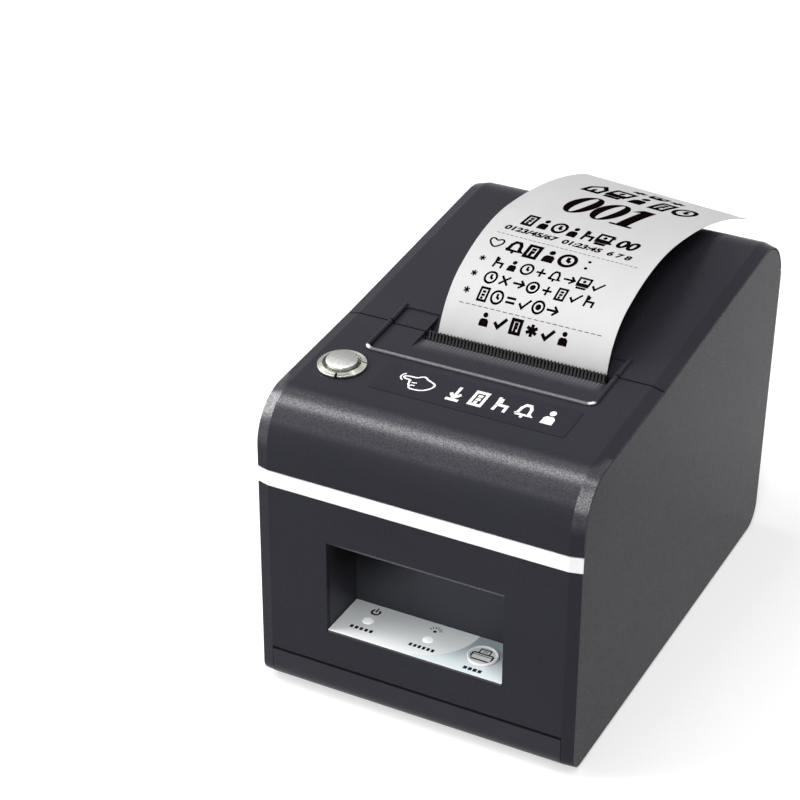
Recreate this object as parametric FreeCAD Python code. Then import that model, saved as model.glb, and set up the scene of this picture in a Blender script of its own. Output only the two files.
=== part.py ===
import FreeCAD, Part
import math
import os

V = FreeCAD.Vector
RIGHT = V(1, 0, 0)
BACK = V(0, 1, 0)
UP = V(0, 0, 1)

# Frame: millimetres, X to the right, Y to the back, Z up. The origin is the middle of the four
# feet on the table. "Reach" is a distance from the origin, "height" is above the table.

# Case
case_width = 110.0
front_reach = 81.6
back_reach = 83.3
case_lift = 1.5
front_height = 104.5  # where the front face would meet the slope of the cover
seam_reach = 22.1  # the seam between front cover and lid lies this far ahead of the origin
seam_height = 108.5
back_height = 118.6  # where the slope of the lid would meet the back face
back_lean = 4.5  # how far the back face leans out over its height
front_top_radius = 17.0
back_top_radius = 18.7
front_foot_radius = 6.6
back_foot_radius = 9.0
bevel_width = 4.0
bevel_depth = 1.07
wall = 2.2
seam_gap = 0.3
seam_land = 0.4  # side of cover and lid that shows below the bevel
base_seam_height = 14.2
base_seam_gap = 0.4
stripe_height = 75.8
stripe_width = 5.6
stripe_depth = 1.3
stripe_gap = 0.15
joint_rib = 1.3

# Feet, base screws and vents
foot_radius = 6.0
foot_recess = 0.9
foot_spread = 38.0
foot_reach = 64.0
screw_radius = 1.45
screw_head_radius = 2.8
screw_head_height = 1.8
screw_length = 11.0
screw_clearance = 0.05
boss_radius = 3.4
boss_height = 26.0
base_screw_inset = 5.4  # from the inner face of the side wall
base_screw_reach = 50.0
vent_count = 7
vent_pitch = 6.0
vent_width = 2.4
vent_length = 34.0

# Window in the front with the keys on its shelf
window_width = 61.2
window_bottom = 28.0
window_height = 31.2
window_depth = 19.4
window_lip_radius = 2.5
pocket_wall = 1.8
panel_thickness = 1.0
panel_clearance = 0.25
feed_x = 19.3
key_setback = 10.1  # from the front face to the row of feed key and lamps
feed_radius = 5.1
feed_rise = 0.7
feed_travel = 0.8
feed_stem_radius = 2.0
key_clearance = 0.15
stem_clearance = 0.08
lamp_radius = 1.9
lamp_xs = (-21.3, 0.2)
panel_board_drop = 9.6  # below the shelf
board_thickness = 1.6
tact_side = 6.2
tact_height = 4.0

# Raised rim, recess and ramp round the paper slot
rim_half_width = 39.2
rim_front = 17.7  # ahead of the seam
rim_back = 10.6  # behind the seam
rim_radius = 0.8
rim_corner = 2.6
recess_inset = 0.8
recess_depth = 0.6
recess_back = 9.8  # behind the seam
recess_skin = 1.8
slot_half_width = 32.2
ramp_start = 10.4  # ahead of the seam
ramp_foot = 3.0  # ahead of the seam
ramp_drop = 1.0  # below the recess floor, at the comb
slot_depth = 4.6  # how far the slot cuts through the lid, behind the seam
lid_ramp_drop = 3.4  # below the recess floor, at the back of the slot

# Tear comb
comb_teeth = 51
comb_pitch = 1.2
tooth_width = 0.85
tooth_tip = 0.4
tooth_height = 2.7
tooth_wall = 0.5  # web behind the ribs
tooth_bare = 0.4  # how far their tips stand over the web
comb_thickness = 1.8
comb_sink = 0.5  # top of its bar below the foot of the ramp
comb_foot = 2.2  # underside of its bar below the foot of the ramp
comb_setback = 0.4  # ahead of the seam

# Take-a-number button
button_inset = 14.3  # from the left side of the case
button_ahead = 29.9  # ahead of the seam
button_flange_radius = 7.9
button_flange_height = 1.2
button_flange_edge = 0.6
button_groove = 0.6  # depth of the groove round the cap
button_lip_radius = 6.05
button_lip_slope = 0.15
button_body_radius = 5.9
button_body_length = 13.0
button_cap_radius = 5.1
button_cap_side = 0.8  # rim of the cap above the flange
button_cap_rise = 0.5  # dome above the rim
button_travel = 1.6
button_clearance = 0.07
button_stem_radius = 2.6
button_stem_length = 11.5
gasket_thickness = 0.3
nut_across_flats = 14.0
nut_thickness = 2.2
switch_radius = 5.4
switch_length = 9.0
terminal_length = 4.0

# Instruction label on the cover
label_left_inset = 27.0  # from the sides of the case
label_right_inset = 17.0
label_front = 37.1  # ahead of the seam
label_back = 21.9
label_thickness = 0.15

# Paper
paper_x = 5.4
paper_width = 58.4
paper_thickness = 0.25
paper_gap = 0.3
tear_gap = 0.4
roll_radius = 25.0
roll_width = 57.4
core_radius = 8.5
core_bore = 6.3
bay_radius = 30.0
bay_width = 60.6
bay_y = 40.0
bay_height = 59.0
bay_wall = 1.8
mouth_inset = 8.0  # lower edge of the opening for the paper, behind the front of the trough
mouth_drop = 17.0  # and below the centre of its curve
mouth_reach = 40.0
mouth_slope = 0.45  # share of the slope of the paper
mouth_lead = 5.0  # ahead of the deck
deck_height = 85.0
deck_thickness = 1.8
deck_front = 2.0  # behind the seam's inner wall of the mechanism
deck_ledge = 3.0
tear_depth = 2.9  # below the seam
nip_lead = 2.0  # straight stretch of the web above the nip
web_lean = 9.0  # degrees back from upright between nip and tear line
ticket_rises = (67.5, 73.2)  # degrees from the lid's slope at the tear line, left and right edge
ticket_radii = ((29.6, 69.8, 222.0), (22.5, 86.8, 223.0))
ticket_turns = ((46.9, 30.1, 17.5), (58.0, 27.0, 19.5))  # degrees

# Platen and print head
platen_behind = 7.1  # behind the seam
platen_drop = 13.0  # below the seam
platen_radius = 5.0
shaft_radius = 2.5
bush_radius = 3.8
bush_flange_radius = 4.6
running_gap = 0.05
sheet = 1.2
tab_width = 8.0
tab_front_setback = 12.0
tab_back_setback = 4.0
bracket_screw_spread = 20.0
ledge_reach = 8.0
ledge_depth = 9.0
mount_screw_length = 7.0
arm_half_span = 30.4
frame_half_span = 33.2
frame_front = 43.0  # ahead of the platen
frame_bottom = 31.5  # below the platen
frame_top = 4.6  # above the platen
frame_back = 8.0  # behind the platen
head_height = 12.0
head_thickness = 0.75
heatsink_thickness = 3.0
heatsink_height = 15.0
heatsink_half_width = 28.0
head_pin_ahead = 12.0
head_pin_drop = 12.5
head_pin_radius = 1.5
knuckle_radius = 2.6
spring_spread = 17.0
spring_coil_radius = 2.2
spring_wire = 0.6
spring_turns = 5
spring_steps = 12  # sections in each turn
spring_wall_ahead = 18.0  # frame wall behind the springs, ahead of the platen

# Gear train
gear_module = 0.6
platen_teeth = 24
idler_teeth = 38
pinion_teeth = 12
gear_width = 4.0
gear_clearance = 0.15
gear_standoff = 0.8
idler_angle = 207.0  # direction from platen to idler, degrees, in the side view
motor_angle = 206.0
motor_radius = 10.0
motor_length = 22.0
motor_shaft_radius = 1.0
idler_pin_radius = 1.5
pin_head = 0.8

# Lid hinge
hinge_height = 92.0
barrel_radius = 5.2
barrel_gap = 0.4
horn_radius = 10.0
hinge_boss_radius = 4.4
hinge_boss_length = 3.0
hinge_pin_radius = 1.5
hinge_pin_length = 9.5

# Main board and the sockets at the back
board_height = 14.5
board_side_gap = 9.4
board_front = -30.0
standoff_radius = 3.0
standoff_inset = 18.0  # from the inner face of the side wall
processor = (-8.0, 48.0, 12.0, 12.0, 1.4)  # centre x, behind the board's front edge, width, depth, height
driver = (19.0, 40.0, 10.0, 8.0, 1.6)
capacitors = ((30.0, 54.0, 4.0, 9.0), (30.0, 66.0, 4.0, 9.0), (-24.0, 60.0, 3.2, 8.0))  # radius, height
head_socket = (22.0, 3.6, 3.0)  # width, depth, height
panel_socket = (-12.0, 8.0, 13.0, 4.0, 3.4)
cable_socket_front = 7.0
cable_socket_depth = 4.0
cable_socket_height = 4.6
socket_gap = 0.3
socket_recess = 0.6
dc_x = 30.0
dc_size = (9.2, 14.0, 11.0)
dc_bore = 2.8
dc_bore_depth = 9.5
dc_pin = 1.0
usb_x = 10.0
usb_size = (12.2, 16.0, 11.2)
drawer_x = -12.0
drawer_size = (13.4, 16.0, 13.6)
switch_x = -39.5
switch_height = 42.0
rocker_width = 11.0
rocker_length = 16.5
rocker_depth = 12.0
rocker_bezel = 2.2
rocker_tilt = 8.0
rocker_gap = 0.3

half_width = case_width / 2
inner_half_width = half_width - wall
seam_y = -seam_reach
cover_slope = math.atan2(seam_height - front_height, front_reach - seam_reach)
lid_slope = math.atan2(back_height - seam_height, seam_reach + back_reach + back_lean)
platen_y = seam_y + platen_behind
button_x = button_inset - half_width
label_left = label_left_inset - half_width
label_right = half_width - label_right_inset
board_half_width = inner_half_width - board_side_gap
standoff_spread = inner_half_width - standoff_inset
platen_z = seam_height - platen_drop
stripe_top = stripe_height + stripe_width
far = 3 * case_width


# ---- Shapes -------------------------------------------------------------------------------


def box(x0, x1, y0, y1, z0, z1):
    return Part.makeBox(x1 - x0, y1 - y0, z1 - z0, V(x0, y0, z0))


def rod(radius, start, axis, length):
    return Part.makeCylinder(radius, length, start, axis)


def ring(outer, inner, start, axis, length):
    return rod(outer, start, axis, length).cut(rod(inner, start - axis, axis, length + 2))


def side_view(x):
    return lambda y, z: V(x, y, z)


def top_view(z):
    return lambda x, y: V(x, y, z)


def front_view(y):
    return lambda x, z: V(x, y, z)


def unit(a, b):
    length = math.hypot(b[0] - a[0], b[1] - a[1])
    return (b[0] - a[0]) / length, (b[1] - a[1]) / length


def corner_arc(before, corner, after, radius):
    """Start, middle and end of the arc that rounds one corner of an outline."""
    back, ahead = unit(corner, before), unit(corner, after)
    half_turn = math.acos(max(-1, min(1, back[0] * ahead[0] + back[1] * ahead[1]))) / 2
    run = radius / math.tan(half_turn)
    middle_run = radius / math.sin(half_turn) - radius
    bisector = unit((0, 0), (back[0] + ahead[0], back[1] + ahead[1]))
    points = ((back, run), (bisector, middle_run), (ahead, run))
    return [(corner[0] + d[0] * r, corner[1] + d[1] * r) for d, r in points]


def outline(corners, radii, place):
    """Closed wire through the corners, each rounded by its radius, 0 for a sharp one."""
    edges, ends = [], []
    count = len(corners)
    radii = radii if isinstance(radii, (list, tuple)) else [radii] * count
    for i, corner in enumerate(corners):
        if radii[i] > 0:
            arc = corner_arc(corners[i - 1], corner, corners[(i + 1) % count], radii[i])
            ends.append([place(*p) for p in arc])
        else:
            ends.append([place(*corner)])
    for i, here in enumerate(ends):
        if len(here) == 3:
            edges.append(Part.Arc(*here).toShape())
        following = ends[(i + 1) % count]
        edges.append(Part.LineSegment(here[-1], following[0]).toShape())
    return Part.Wire(edges)


def slab(corners, radii, place, push):
    """Solid between an outline and the same outline moved by push."""
    return Part.Face(outline(corners, radii, place)).extrude(push)


def across(corners, x0, x1, radii=0):
    """Solid with a side-view outline, from x0 to x1."""
    return slab(corners, radii, side_view(x0), RIGHT * (x1 - x0))


def rectangle(a0, a1, b0, b1):
    return [(a0, b0), (a1, b0), (a1, b1), (a0, b1)]


def ribbon(points, thickness, x0, x1, bend):
    """Flat strip of constant thickness that follows the points in the side view."""
    sides = []
    for sign in (1, -1):
        offset = sign * thickness / 2
        row = []
        for i, p in enumerate(points):
            ways = [unit(points[j], points[j + 1]) for j in (i - 1, i) if 0 <= j < len(points) - 1]
            normal = [sum(w[1] for w in ways), -sum(w[0] for w in ways)]
            size = math.hypot(*normal)
            normal = [c / size for c in normal]
            lean = normal[0] * ways[0][1] - normal[1] * ways[0][0]
            row.append((p[0] + offset * normal[0] / lean, p[1] + offset * normal[1] / lean))
        sides.append(row)
    corners = sides[0] + sides[1][::-1]
    count = len(points)
    radii = []
    for k in range(2 * count):
        i = k if k < count else 2 * count - 1 - k
        if i in (0, count - 1):
            radii.append(0)
            continue
        (a, b), (c, d) = unit(points[i - 1], points[i]), unit(points[i], points[i + 1])
        left_turn = a * d - b * c > 0
        outer = left_turn == (k < count)
        radii.append(bend + thickness / 2 if outer else bend - thickness / 2)
    return across(corners, x0, x1, radii)


# ---- Case surfaces ------------------------------------------------------------------------


def case_corners(inset, floor_inset):
    """Side-view corners of the case, moved inwards from the middle strip of its skin."""
    corners = [
        (-front_reach, case_lift),
        (-front_reach, front_height),
        (seam_y, seam_height),
        (back_reach + back_lean, back_height),
        (back_reach, case_lift),
    ]
    count = len(corners)
    lines = []
    for i, a in enumerate(corners):
        b = corners[(i + 1) % count]
        way = unit(a, b)
        move = floor_inset if i == count - 1 else inset
        lines.append(((a[0] + way[1] * move, a[1] - way[0] * move), way))
    moved = []
    for i, (point, way) in enumerate(lines):
        start, before = lines[i - 1]
        turn = before[0] * way[1] - before[1] * way[0]
        run = ((point[0] - start[0]) * way[1] - (point[1] - start[1]) * way[0]) / turn
        moved.append((start[0] + before[0] * run, start[1] + before[1] * run))
    return moved


def case_radii(inset):
    radii = [front_foot_radius, front_top_radius, 0, back_top_radius, back_foot_radius]
    return [max(r - inset, 0.5) if r else 0 for r in radii]


def case_prism(inset, x0, x1, floor_inset=None):
    depth = inset if floor_inset is None else floor_inset
    return across(case_corners(inset, depth), x0, x1, case_radii(inset))


def case_solid():
    """The whole outer form: a middle strip with a shallow bevel down to each side."""
    flat = half_width - bevel_width
    stations = ((-half_width, bevel_depth), (-flat, 0), (flat, 0), (half_width, bevel_depth))
    wires = [
        outline(case_corners(inset, 0), case_radii(inset), side_view(x)) for x, inset in stations
    ]
    return Part.makeLoft(wires, True, True)


def case_shell():
    return case_solid().cut(case_prism(wall, -inner_half_width, inner_half_width))


def lid_z(y):
    return seam_height + (y - seam_y) * math.tan(lid_slope)


def back_y(z):
    """Outer back face at a height."""
    return back_reach + back_lean * (z - case_lift) / (back_height - case_lift)


hinge_y = back_y(hinge_height) - barrel_radius
seal_inset = bevel_depth + seam_land  # inner side of cover and lid where they lie on the side walls


def on_slope(shape, slope):
    """Moves a shape from (x, distance behind the seam, height over the skin) to its place."""
    placed = shape.copy()
    placed.rotate(V(0, 0, 0), RIGHT, math.degrees(slope))
    placed.translate(V(0, seam_y, seam_height))
    return placed


def on_cover(shape):
    return on_slope(shape, cover_slope)


def on_lid(shape):
    return on_slope(shape, lid_slope)


def under_edges():
    """What the side walls keep below cover and lid: all inside the seal, and the rear horns."""
    return case_prism(seal_inset + seam_gap, -far, far, wall).fuse(
        rod(horn_radius, V(-far, hinge_y, hinge_height), RIGHT, 2 * far)
    )


def over_edges():
    """Space of cover and lid at the sides, over the top edges of the side walls."""
    return case_prism(seal_inset, -far, far, wall)


# ---- Outer shells -------------------------------------------------------------------------


def window_cut(front_y):
    """Space of the window, with its rounded top lip."""
    back = -front_reach + window_depth
    floor = window_bottom - panel_thickness
    top = window_bottom + window_height
    lip = window_lip_radius
    bow = lip * (1 - math.sqrt(0.5))
    place = side_view(-window_width / 2)
    path = [
        (front_y, floor),
        (front_y, top + lip),
        (-front_reach, top + lip),
        (-front_reach + lip, top),
        (back, top),
        (back, floor),
    ]
    points = [place(*p) for p in path]
    middle = place(-front_reach + bow, top + bow)
    edges = []
    for i, start in enumerate(points):
        end = points[(i + 1) % len(points)]
        if i == 2:
            edges.append(Part.Arc(start, middle, end).toShape())
        else:
            edges.append(Part.LineSegment(start, end).toShape())
    return Part.Face(Part.Wire(edges)).extrude(RIGHT * window_width)


def window_pocket():
    """Open box behind the window, with the shelf as its floor."""
    reach = window_width / 2 + pocket_wall
    back = -front_reach + window_depth + pocket_wall
    top = window_bottom + window_height + pocket_wall
    floor = window_bottom - panel_thickness - pocket_wall
    block = box(-reach, reach, -front_reach + wall, back, floor, top)
    return block.cut(window_cut(-front_reach - 1)).cut(shelf_holes())


def key_y():
    return -front_reach + key_setback


def sockets():
    """Name, centre x and size of each socket on the main board."""
    return {
        "dc_jack": (dc_x, dc_size),
        "usb_port": (usb_x, usb_size),
        "drawer_port": (drawer_x, drawer_size),
    }


def socket_box(x, size, gap=0.0):
    """Block of one socket, standing on the board with its face just inside the back skin."""
    width, depth, height = size
    floor = board_height + board_thickness
    face = back_y(floor) - socket_recess
    return box(x - width / 2 - gap, x + width / 2 + gap, face - depth, face, floor, floor + height + gap)


def base_screw_places():
    return [
        (side * (inner_half_width - base_screw_inset), end * base_screw_reach) for side in (-1, 1) for end in (-1, 1)
    ]


def main_housing():
    shell = case_shell()
    inner = inner_half_width
    shell = shell.cut(box(-inner, inner, -far, 0, stripe_height, far))
    shell = shell.cut(box(-inner, inner, 0, far, hinge_height - barrel_radius - barrel_gap, far))
    kept = under_edges()
    for side in (-1, 1):
        x0, x1 = sorted((side * inner, side * far))
        upper = box(x0, x1, -far, 0, stripe_height, far).fuse(
            box(x0, x1, 0, far, hinge_height, far)
        )
        shell = shell.cut(upper.cut(kept))
    flat = half_width - bevel_width
    shell = shell.cut(box(-flat, flat, -far, far, -far, base_seam_height))
    shell = shell.cut(box(-flat, flat, 0, far, -far, far))
    shell = shell.fuse([joint_rib_behind_stripe()] + housing_bosses())
    for x, y in mount_screw_places():
        low = platen_z - frame_bottom - mount_screw_length
        shell = shell.cut(rod(screw_radius + screw_clearance, V(x, y, low), UP, mount_screw_length + 1))
    shell = shell.cut(window_cut(-front_reach - 1))
    return shell.cut([hinge_pin_hole(-1), hinge_pin_hole(1)]).removeSplitter()


def rear_panel():
    """Back wall between the bevels, with the mouths of the sockets and of the power switch."""
    edge = half_width - bevel_width - stripe_gap
    top = hinge_height - barrel_radius - barrel_gap
    panel = case_shell().common(box(-edge, edge, 0, far, base_seam_height, top))
    panel = panel.cut(box(-edge, edge, 0, back_reach - back_foot_radius, -far, far))
    holes = [socket_mouth(x, size) for x, size in sockets().values()]
    return panel.cut(holes + [rocker_hole()]).removeSplitter()


def socket_mouth(x, size):
    width, _, height = size
    floor = board_height + board_thickness
    gap = socket_gap
    return box(
        x - width / 2 - gap,
        x + width / 2 + gap,
        back_y(floor) - wall - 1,
        far,
        floor - gap,
        floor + height + gap,
    )


def joint_rib_behind_stripe():
    """Rib that backs the stripe and carries the lower edge of the front cover."""
    inner = inner_half_width
    seat = case_prism(stripe_depth, -inner, inner)
    tongue = case_prism(wall + stripe_gap, -inner, inner)
    core = case_prism(wall + joint_rib, -far, far)
    band = box(-inner, inner, -far, 0, stripe_height - stripe_gap, stripe_top - stripe_gap)
    reach = box(-inner, inner, -far, 0, stripe_height - 3, stripe_top + 3)
    return seat.common(band).fuse(tongue.common(reach)).cut(core)


def housing_bosses():
    """Posts for the base screws, ledges for the deck and bosses for the hinge pins."""
    floor = case_lift + wall
    made = []
    for x, y in base_screw_places():
        side = math.copysign(1, x)
        post = rod(boss_radius, V(x, y, floor), UP, boss_height)
        x0, x1 = sorted((x, side * (inner_half_width + wall / 2)))
        web = box(x0, x1, y - 1, y + 1, base_seam_height, floor + boss_height)
        bore = rod(screw_radius + screw_clearance, V(x, y, floor - 1), UP, screw_length + 2)
        made.append(post.fuse(web).cut(bore))
    for side in (-1, 1):
        root = side * (inner_half_width + wall / 2)
        x0, x1 = sorted((side * (inner_half_width - deck_ledge), root))
        top = deck_height - deck_thickness
        made.append(box(x0, x1, deck_y(), hinge_y - horn_radius, top - 2.5, top))
        start = V(root, hinge_y, hinge_height)
        made.append(rod(hinge_boss_radius, start, RIGHT * -side, hinge_boss_length + wall / 2))
        x0, x1 = sorted((side * (inner_half_width - ledge_reach), root))
        low = platen_z - frame_bottom
        for y0, y1 in mount_tabs():
            made.append(box(x0, x1, y0, y1, low - ledge_depth, low))
    return made


def mount_tabs():
    """Front and rear limits of the tabs that hold the mechanism on the side walls."""
    front = platen_y - frame_front + tab_front_setback
    back = platen_y + frame_back - tab_back_setback
    return [(front, front + tab_width), (back - tab_width, back)]


def mount_screw_places():
    x = inner_half_width - ledge_reach / 2
    return [(side * x, (y0 + y1) / 2) for side in (-1, 1) for y0, y1 in mount_tabs()]


def hinge_pin_hole(side):
    start = V(side * (inner_half_width + wall / 2), hinge_y, hinge_height)
    return rod(hinge_pin_radius + running_gap, start, RIGHT * -side, hinge_pin_length + 1)


def deck_y():
    return platen_y + frame_back + deck_front


def top_front_cover():
    inner = inner_half_width - seam_gap
    zone = box(-far, far, -far, seam_y, stripe_top + stripe_gap, far)
    cap = case_shell().common(zone)
    for side in (-1, 1):
        x0, x1 = sorted((side * inner, side * far))
        cap = cap.cut(over_edges().common(box(x0, x1, -far, far, -far, far)))
    skin = recess_form(recess_skin).common(inside_of_skin()).common(zone)
    rim = rim_bead(on_cover, -rim_front, 0).common(zone)
    cap = cap.fuse([skin, rim])
    cap = cap.cut(recess_form(0))
    hole = rod(button_body_radius + 0.15, V(button_x, -button_ahead, -far), UP, 2 * far)
    return cap.cut(on_cover(hole)).removeSplitter()


def inside_of_skin():
    """Everything under the outer skin, so that a fused skin never stands proud."""
    return case_prism(0.1, -far, far)


def recess_form(grow):
    """Recess, ramp and seat of the comb in the front cover, or their outer skin when grown."""
    reach = rim_half_width - recess_inset + grow
    front = -(rim_front - recess_inset) - grow
    floor = -recess_depth - grow
    top = 3.0 if grow == 0 else 0.0
    corner = max(rim_corner - recess_inset, 0.5) + grow
    corners = [(-reach, front), (reach, front), (reach, 2), (-reach, 2)]
    plan = slab(corners, [corner, corner, 0, 0], top_view(floor), UP * (top - floor))
    start = -ramp_start
    foot = -ramp_foot - grow
    low = floor - ramp_drop
    seat = low - comb_foot
    side = [(start, floor), (start, top), (2, top), (2, seat), (foot, seat), (foot, low)]
    ramp = across(side, paper_x - slot_half_width - grow, paper_x + slot_half_width + grow)
    return on_cover(plan.fuse(ramp))


def rim_bead(place, start, end):
    """Half-round bead round the slot, between two distances behind the seam."""
    x = rim_half_width
    turn = rim_corner
    if start < 0:
        bow = turn * (1 - math.sqrt(0.5))
        points = [
            Part.LineSegment(V(x, end + 1, 0), V(x, start + turn, 0)),
            Part.Arc(V(x, start + turn, 0), V(x - bow, start + bow, 0), V(x - turn, start, 0)),
            Part.LineSegment(V(x - turn, start, 0), V(turn - x, start, 0)),
            Part.Arc(V(turn - x, start, 0), V(bow - x, start + bow, 0), V(-x, start + turn, 0)),
            Part.LineSegment(V(-x, start + turn, 0), V(-x, end + 1, 0)),
        ]
        path = Part.Wire([p.toShape() for p in points])
        circle = Part.Wire(Part.makeCircle(rim_radius, V(x, end + 1, 0), BACK))
        return place(path.makePipeShell([circle], True, True))
    bars = []
    for side in (-x, x):
        bar = rod(rim_radius, V(side, start - 1, 0), BACK, end - start + 1)
        bars.append(bar.fuse(Part.makeSphere(rim_radius, V(side, end, 0))))
    return place(bars[0].fuse(bars[1]))


def trim_stripe():
    """White band let into the joint between the front wall and the cover."""
    band = box(-far, far, -far, 0, stripe_height + stripe_gap, stripe_top - stripe_gap)
    middle = case_solid().common(band).cut(case_prism(stripe_depth, -inner_half_width, inner_half_width))
    for side in (-1, 1):
        x0, x1 = sorted((side * (inner_half_width - seam_gap), side * far))
        middle = middle.cut(over_edges().common(box(x0, x1, -far, far, -far, far)))
    return middle


def paper_lid():
    edge = inner_half_width - seam_gap
    zone = box(-far, far, seam_y + seam_gap, far, hinge_height, far)
    lid = case_shell().common(zone)
    horn = rod(horn_radius + seam_gap, V(-far, hinge_y, hinge_height), RIGHT, 2 * far)
    lowest = box(-far, far, 0, far, -far, hinge_height + 1)
    for side in (-1, 1):
        x0, x1 = sorted((side * edge, side * far))
        flank = box(x0, x1, -far, far, -far, far)
        lid = lid.cut(over_edges().fuse([horn, lowest]).common(flank))
    skin = lid_recess(recess_skin).common(inside_of_skin()).common(zone)
    rim = rim_bead(on_lid, 0, rim_back).common(zone)
    lid = lid.fuse([skin, rim, lid_barrel()])
    lid = lid.cut(lid_recess(0)).cut(lid_slot())
    for side in (-1, 1):
        start = V(side * (inner_half_width - hinge_boss_length), hinge_y, hinge_height)
        clear = rod(hinge_boss_radius + seam_gap, start - RIGHT * side * seam_gap, RIGHT * side, far)
        lid = lid.cut(clear.common(box(-edge, edge, -far, far, -far, far)))
        pin = rod(hinge_pin_radius, start + RIGHT * side, RIGHT * -side, hinge_pin_length)
        lid = lid.cut(pin)
    return lid.removeSplitter()


def lid_barrel():
    """Rounded rear edge of the lid, centred on its hinge line."""
    reach = inner_half_width - hinge_boss_length - seam_gap
    return rod(barrel_radius, V(-reach, hinge_y, hinge_height), RIGHT, 2 * reach)


def lid_recess(grow):
    """Recess in the lid with the slope behind the paper, or their outer skin when grown."""
    reach = rim_half_width - recess_inset + grow
    floor = -recess_depth - grow
    top = 3.0 if grow == 0 else 0.0
    corners = rectangle(-reach, reach, -2, recess_back + grow)
    radii = [0, 0, 1 + grow, 1 + grow]
    plan = slab(corners, radii, top_view(floor), UP * (top - floor))
    low = floor - lid_ramp_drop
    side = [(-2, low), (slot_depth, low), (recess_back, floor), (recess_back, top), (-2, top)]
    x0, x1 = paper_x - slot_half_width - grow, paper_x + slot_half_width + grow
    return on_lid(plan.fuse(across(side, x0, x1)))


def lid_slot():
    x0 = paper_x - slot_half_width
    x1 = paper_x + slot_half_width
    return on_lid(box(x0, x1, -2, slot_depth, -far, far))


def base_tray():
    flat = half_width - bevel_width - stripe_gap
    zone = box(-flat, flat, -far, far, -far, base_seam_height - base_seam_gap)
    cavity = case_prism(wall, -far, far)
    tray = case_prism(0, -far, far).cut(cavity).common(zone)
    floor = case_lift + wall
    posts = []
    for x, y in standoff_places():
        post = rod(standoff_radius, V(x, y, floor - 0.5), UP, board_height - floor + 0.5)
        posts.append(post)
    tray = tray.fuse(posts)
    for x, y in standoff_places():
        tray = tray.cut(rod(screw_radius, V(x, y, floor + 1), UP, board_height))
    for x, y in base_screw_places():
        tray = tray.cut(rod(screw_radius + 0.2, V(x, y, 0), UP, floor + 1))
        tray = tray.cut(rod(screw_head_radius + 0.3, V(x, y, 0), UP, case_lift + wall / 2))
    for x, y in foot_places():
        tray = tray.cut(rod(foot_radius + 0.1, V(x, y, 0), UP, case_lift + foot_recess))
    for i in range(vent_count):
        y = (i - (vent_count - 1) / 2) * vent_pitch
        slot = rectangle(-vent_length / 2, vent_length / 2, y - vent_width / 2, y + vent_width / 2)
        tray = tray.cut(slab(slot, vent_width / 2 - 0.01, top_view(0), UP * (floor + 1)))
    return tray.removeSplitter()


def foot_places():
    return [(side * foot_spread, end * foot_reach) for side in (-1, 1) for end in (-1, 1)]


def feet():
    made = []
    for x, y in foot_places():
        pad = rod(foot_radius, V(x, y, 0), UP, case_lift + foot_recess)
        made.append(pad.makeChamfer(0.5, [e for e in pad.Edges if e.BoundBox.ZMax < 0.1]))
    return Part.makeCompound(made)


def pan_screw(x, y, z, direction, head_height=screw_head_height, length=screw_length):
    """Screw with its head's bearing face at z and its shank along direction."""
    head = rod(screw_head_radius, V(x, y, z), direction * -1, head_height)
    return head.fuse(rod(screw_radius, V(x, y, z), direction, length))


def base_screws():
    seat = case_lift + wall / 2
    head = wall / 2
    return Part.makeCompound([pan_screw(x, y, seat, UP, head) for x, y in base_screw_places()])


# ---- Keys and lamps on the shelf ----------------------------------------------------------


def shelf_holes():
    """Holes through the pocket floor for the feed key's stem and the light pipes."""
    low = window_bottom - panel_thickness - pocket_wall - 1
    y = key_y()
    made = rod(feed_stem_radius + stem_clearance, V(feed_x, y, low), UP, pocket_wall + 2)
    for x in lamp_xs:
        made = made.fuse(rod(lamp_radius + 0.05, V(x, y, low), UP, pocket_wall + 2))
    return made


def control_panel():
    """Silver plate that lies on the shelf and ends flush with the front face."""
    reach = window_width / 2 - panel_clearance
    front = -front_reach + 0.1
    back = -front_reach + window_depth - panel_clearance
    floor = window_bottom - panel_thickness
    plate = box(-reach, reach, front, back, floor, window_bottom)
    y = key_y()
    plate = plate.cut(rod(feed_radius + key_clearance, V(feed_x, y, 0), UP, far))
    for x in lamp_xs:
        plate = plate.cut(rod(lamp_radius + 0.05, V(x, y, 0), UP, far))
    return plate


def feed_button():
    """Round key with a domed edge; its stem runs in the pocket floor and pushes the switch."""
    y = key_y()
    floor = window_bottom - panel_thickness
    low = floor + feed_travel + 0.1
    cap = rod(feed_radius, V(feed_x, y, low), UP, window_bottom + feed_rise - low)
    cap = cap.makeFillet(0.45, [e for e in cap.Edges if e.BoundBox.ZMin > window_bottom])
    stem_end = panel_board_top() + tact_height + feed_travel + 0.3
    return cap.fuse(rod(feed_stem_radius, V(feed_x, y, stem_end), UP, low - stem_end + 0.2))


def lamp_windows():
    """Light pipes from the board up to the face of the panel."""
    y = key_y()
    low = panel_board_top() + 1.0
    made = []
    for x in lamp_xs:
        made.append(rod(lamp_radius, V(x, y, low), UP, window_bottom + 0.15 - low))
    return Part.makeCompound(made)


def panel_board_top():
    return window_bottom - panel_board_drop


def panel_board():
    top = panel_board_top()
    reach = window_width / 2
    y0 = -front_reach + wall + 0.6
    board = box(-reach, reach, y0, y0 + window_depth - 2, top - board_thickness, top)
    posts = []
    for side in (-1, 1):
        foot = window_bottom - panel_thickness - pocket_wall
        x = side * (window_width / 2 - 3)
        posts.append(rod(2.0, V(x, y0 + window_depth / 2, top), UP, foot - top))
    return board.fuse(posts)


def panel_lamps():
    y = key_y()
    top = panel_board_top()
    chips = [box(x - 1.6, x + 1.6, y - 1, y + 1, top, top + 0.9) for x in lamp_xs]
    return Part.makeCompound(chips)


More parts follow.
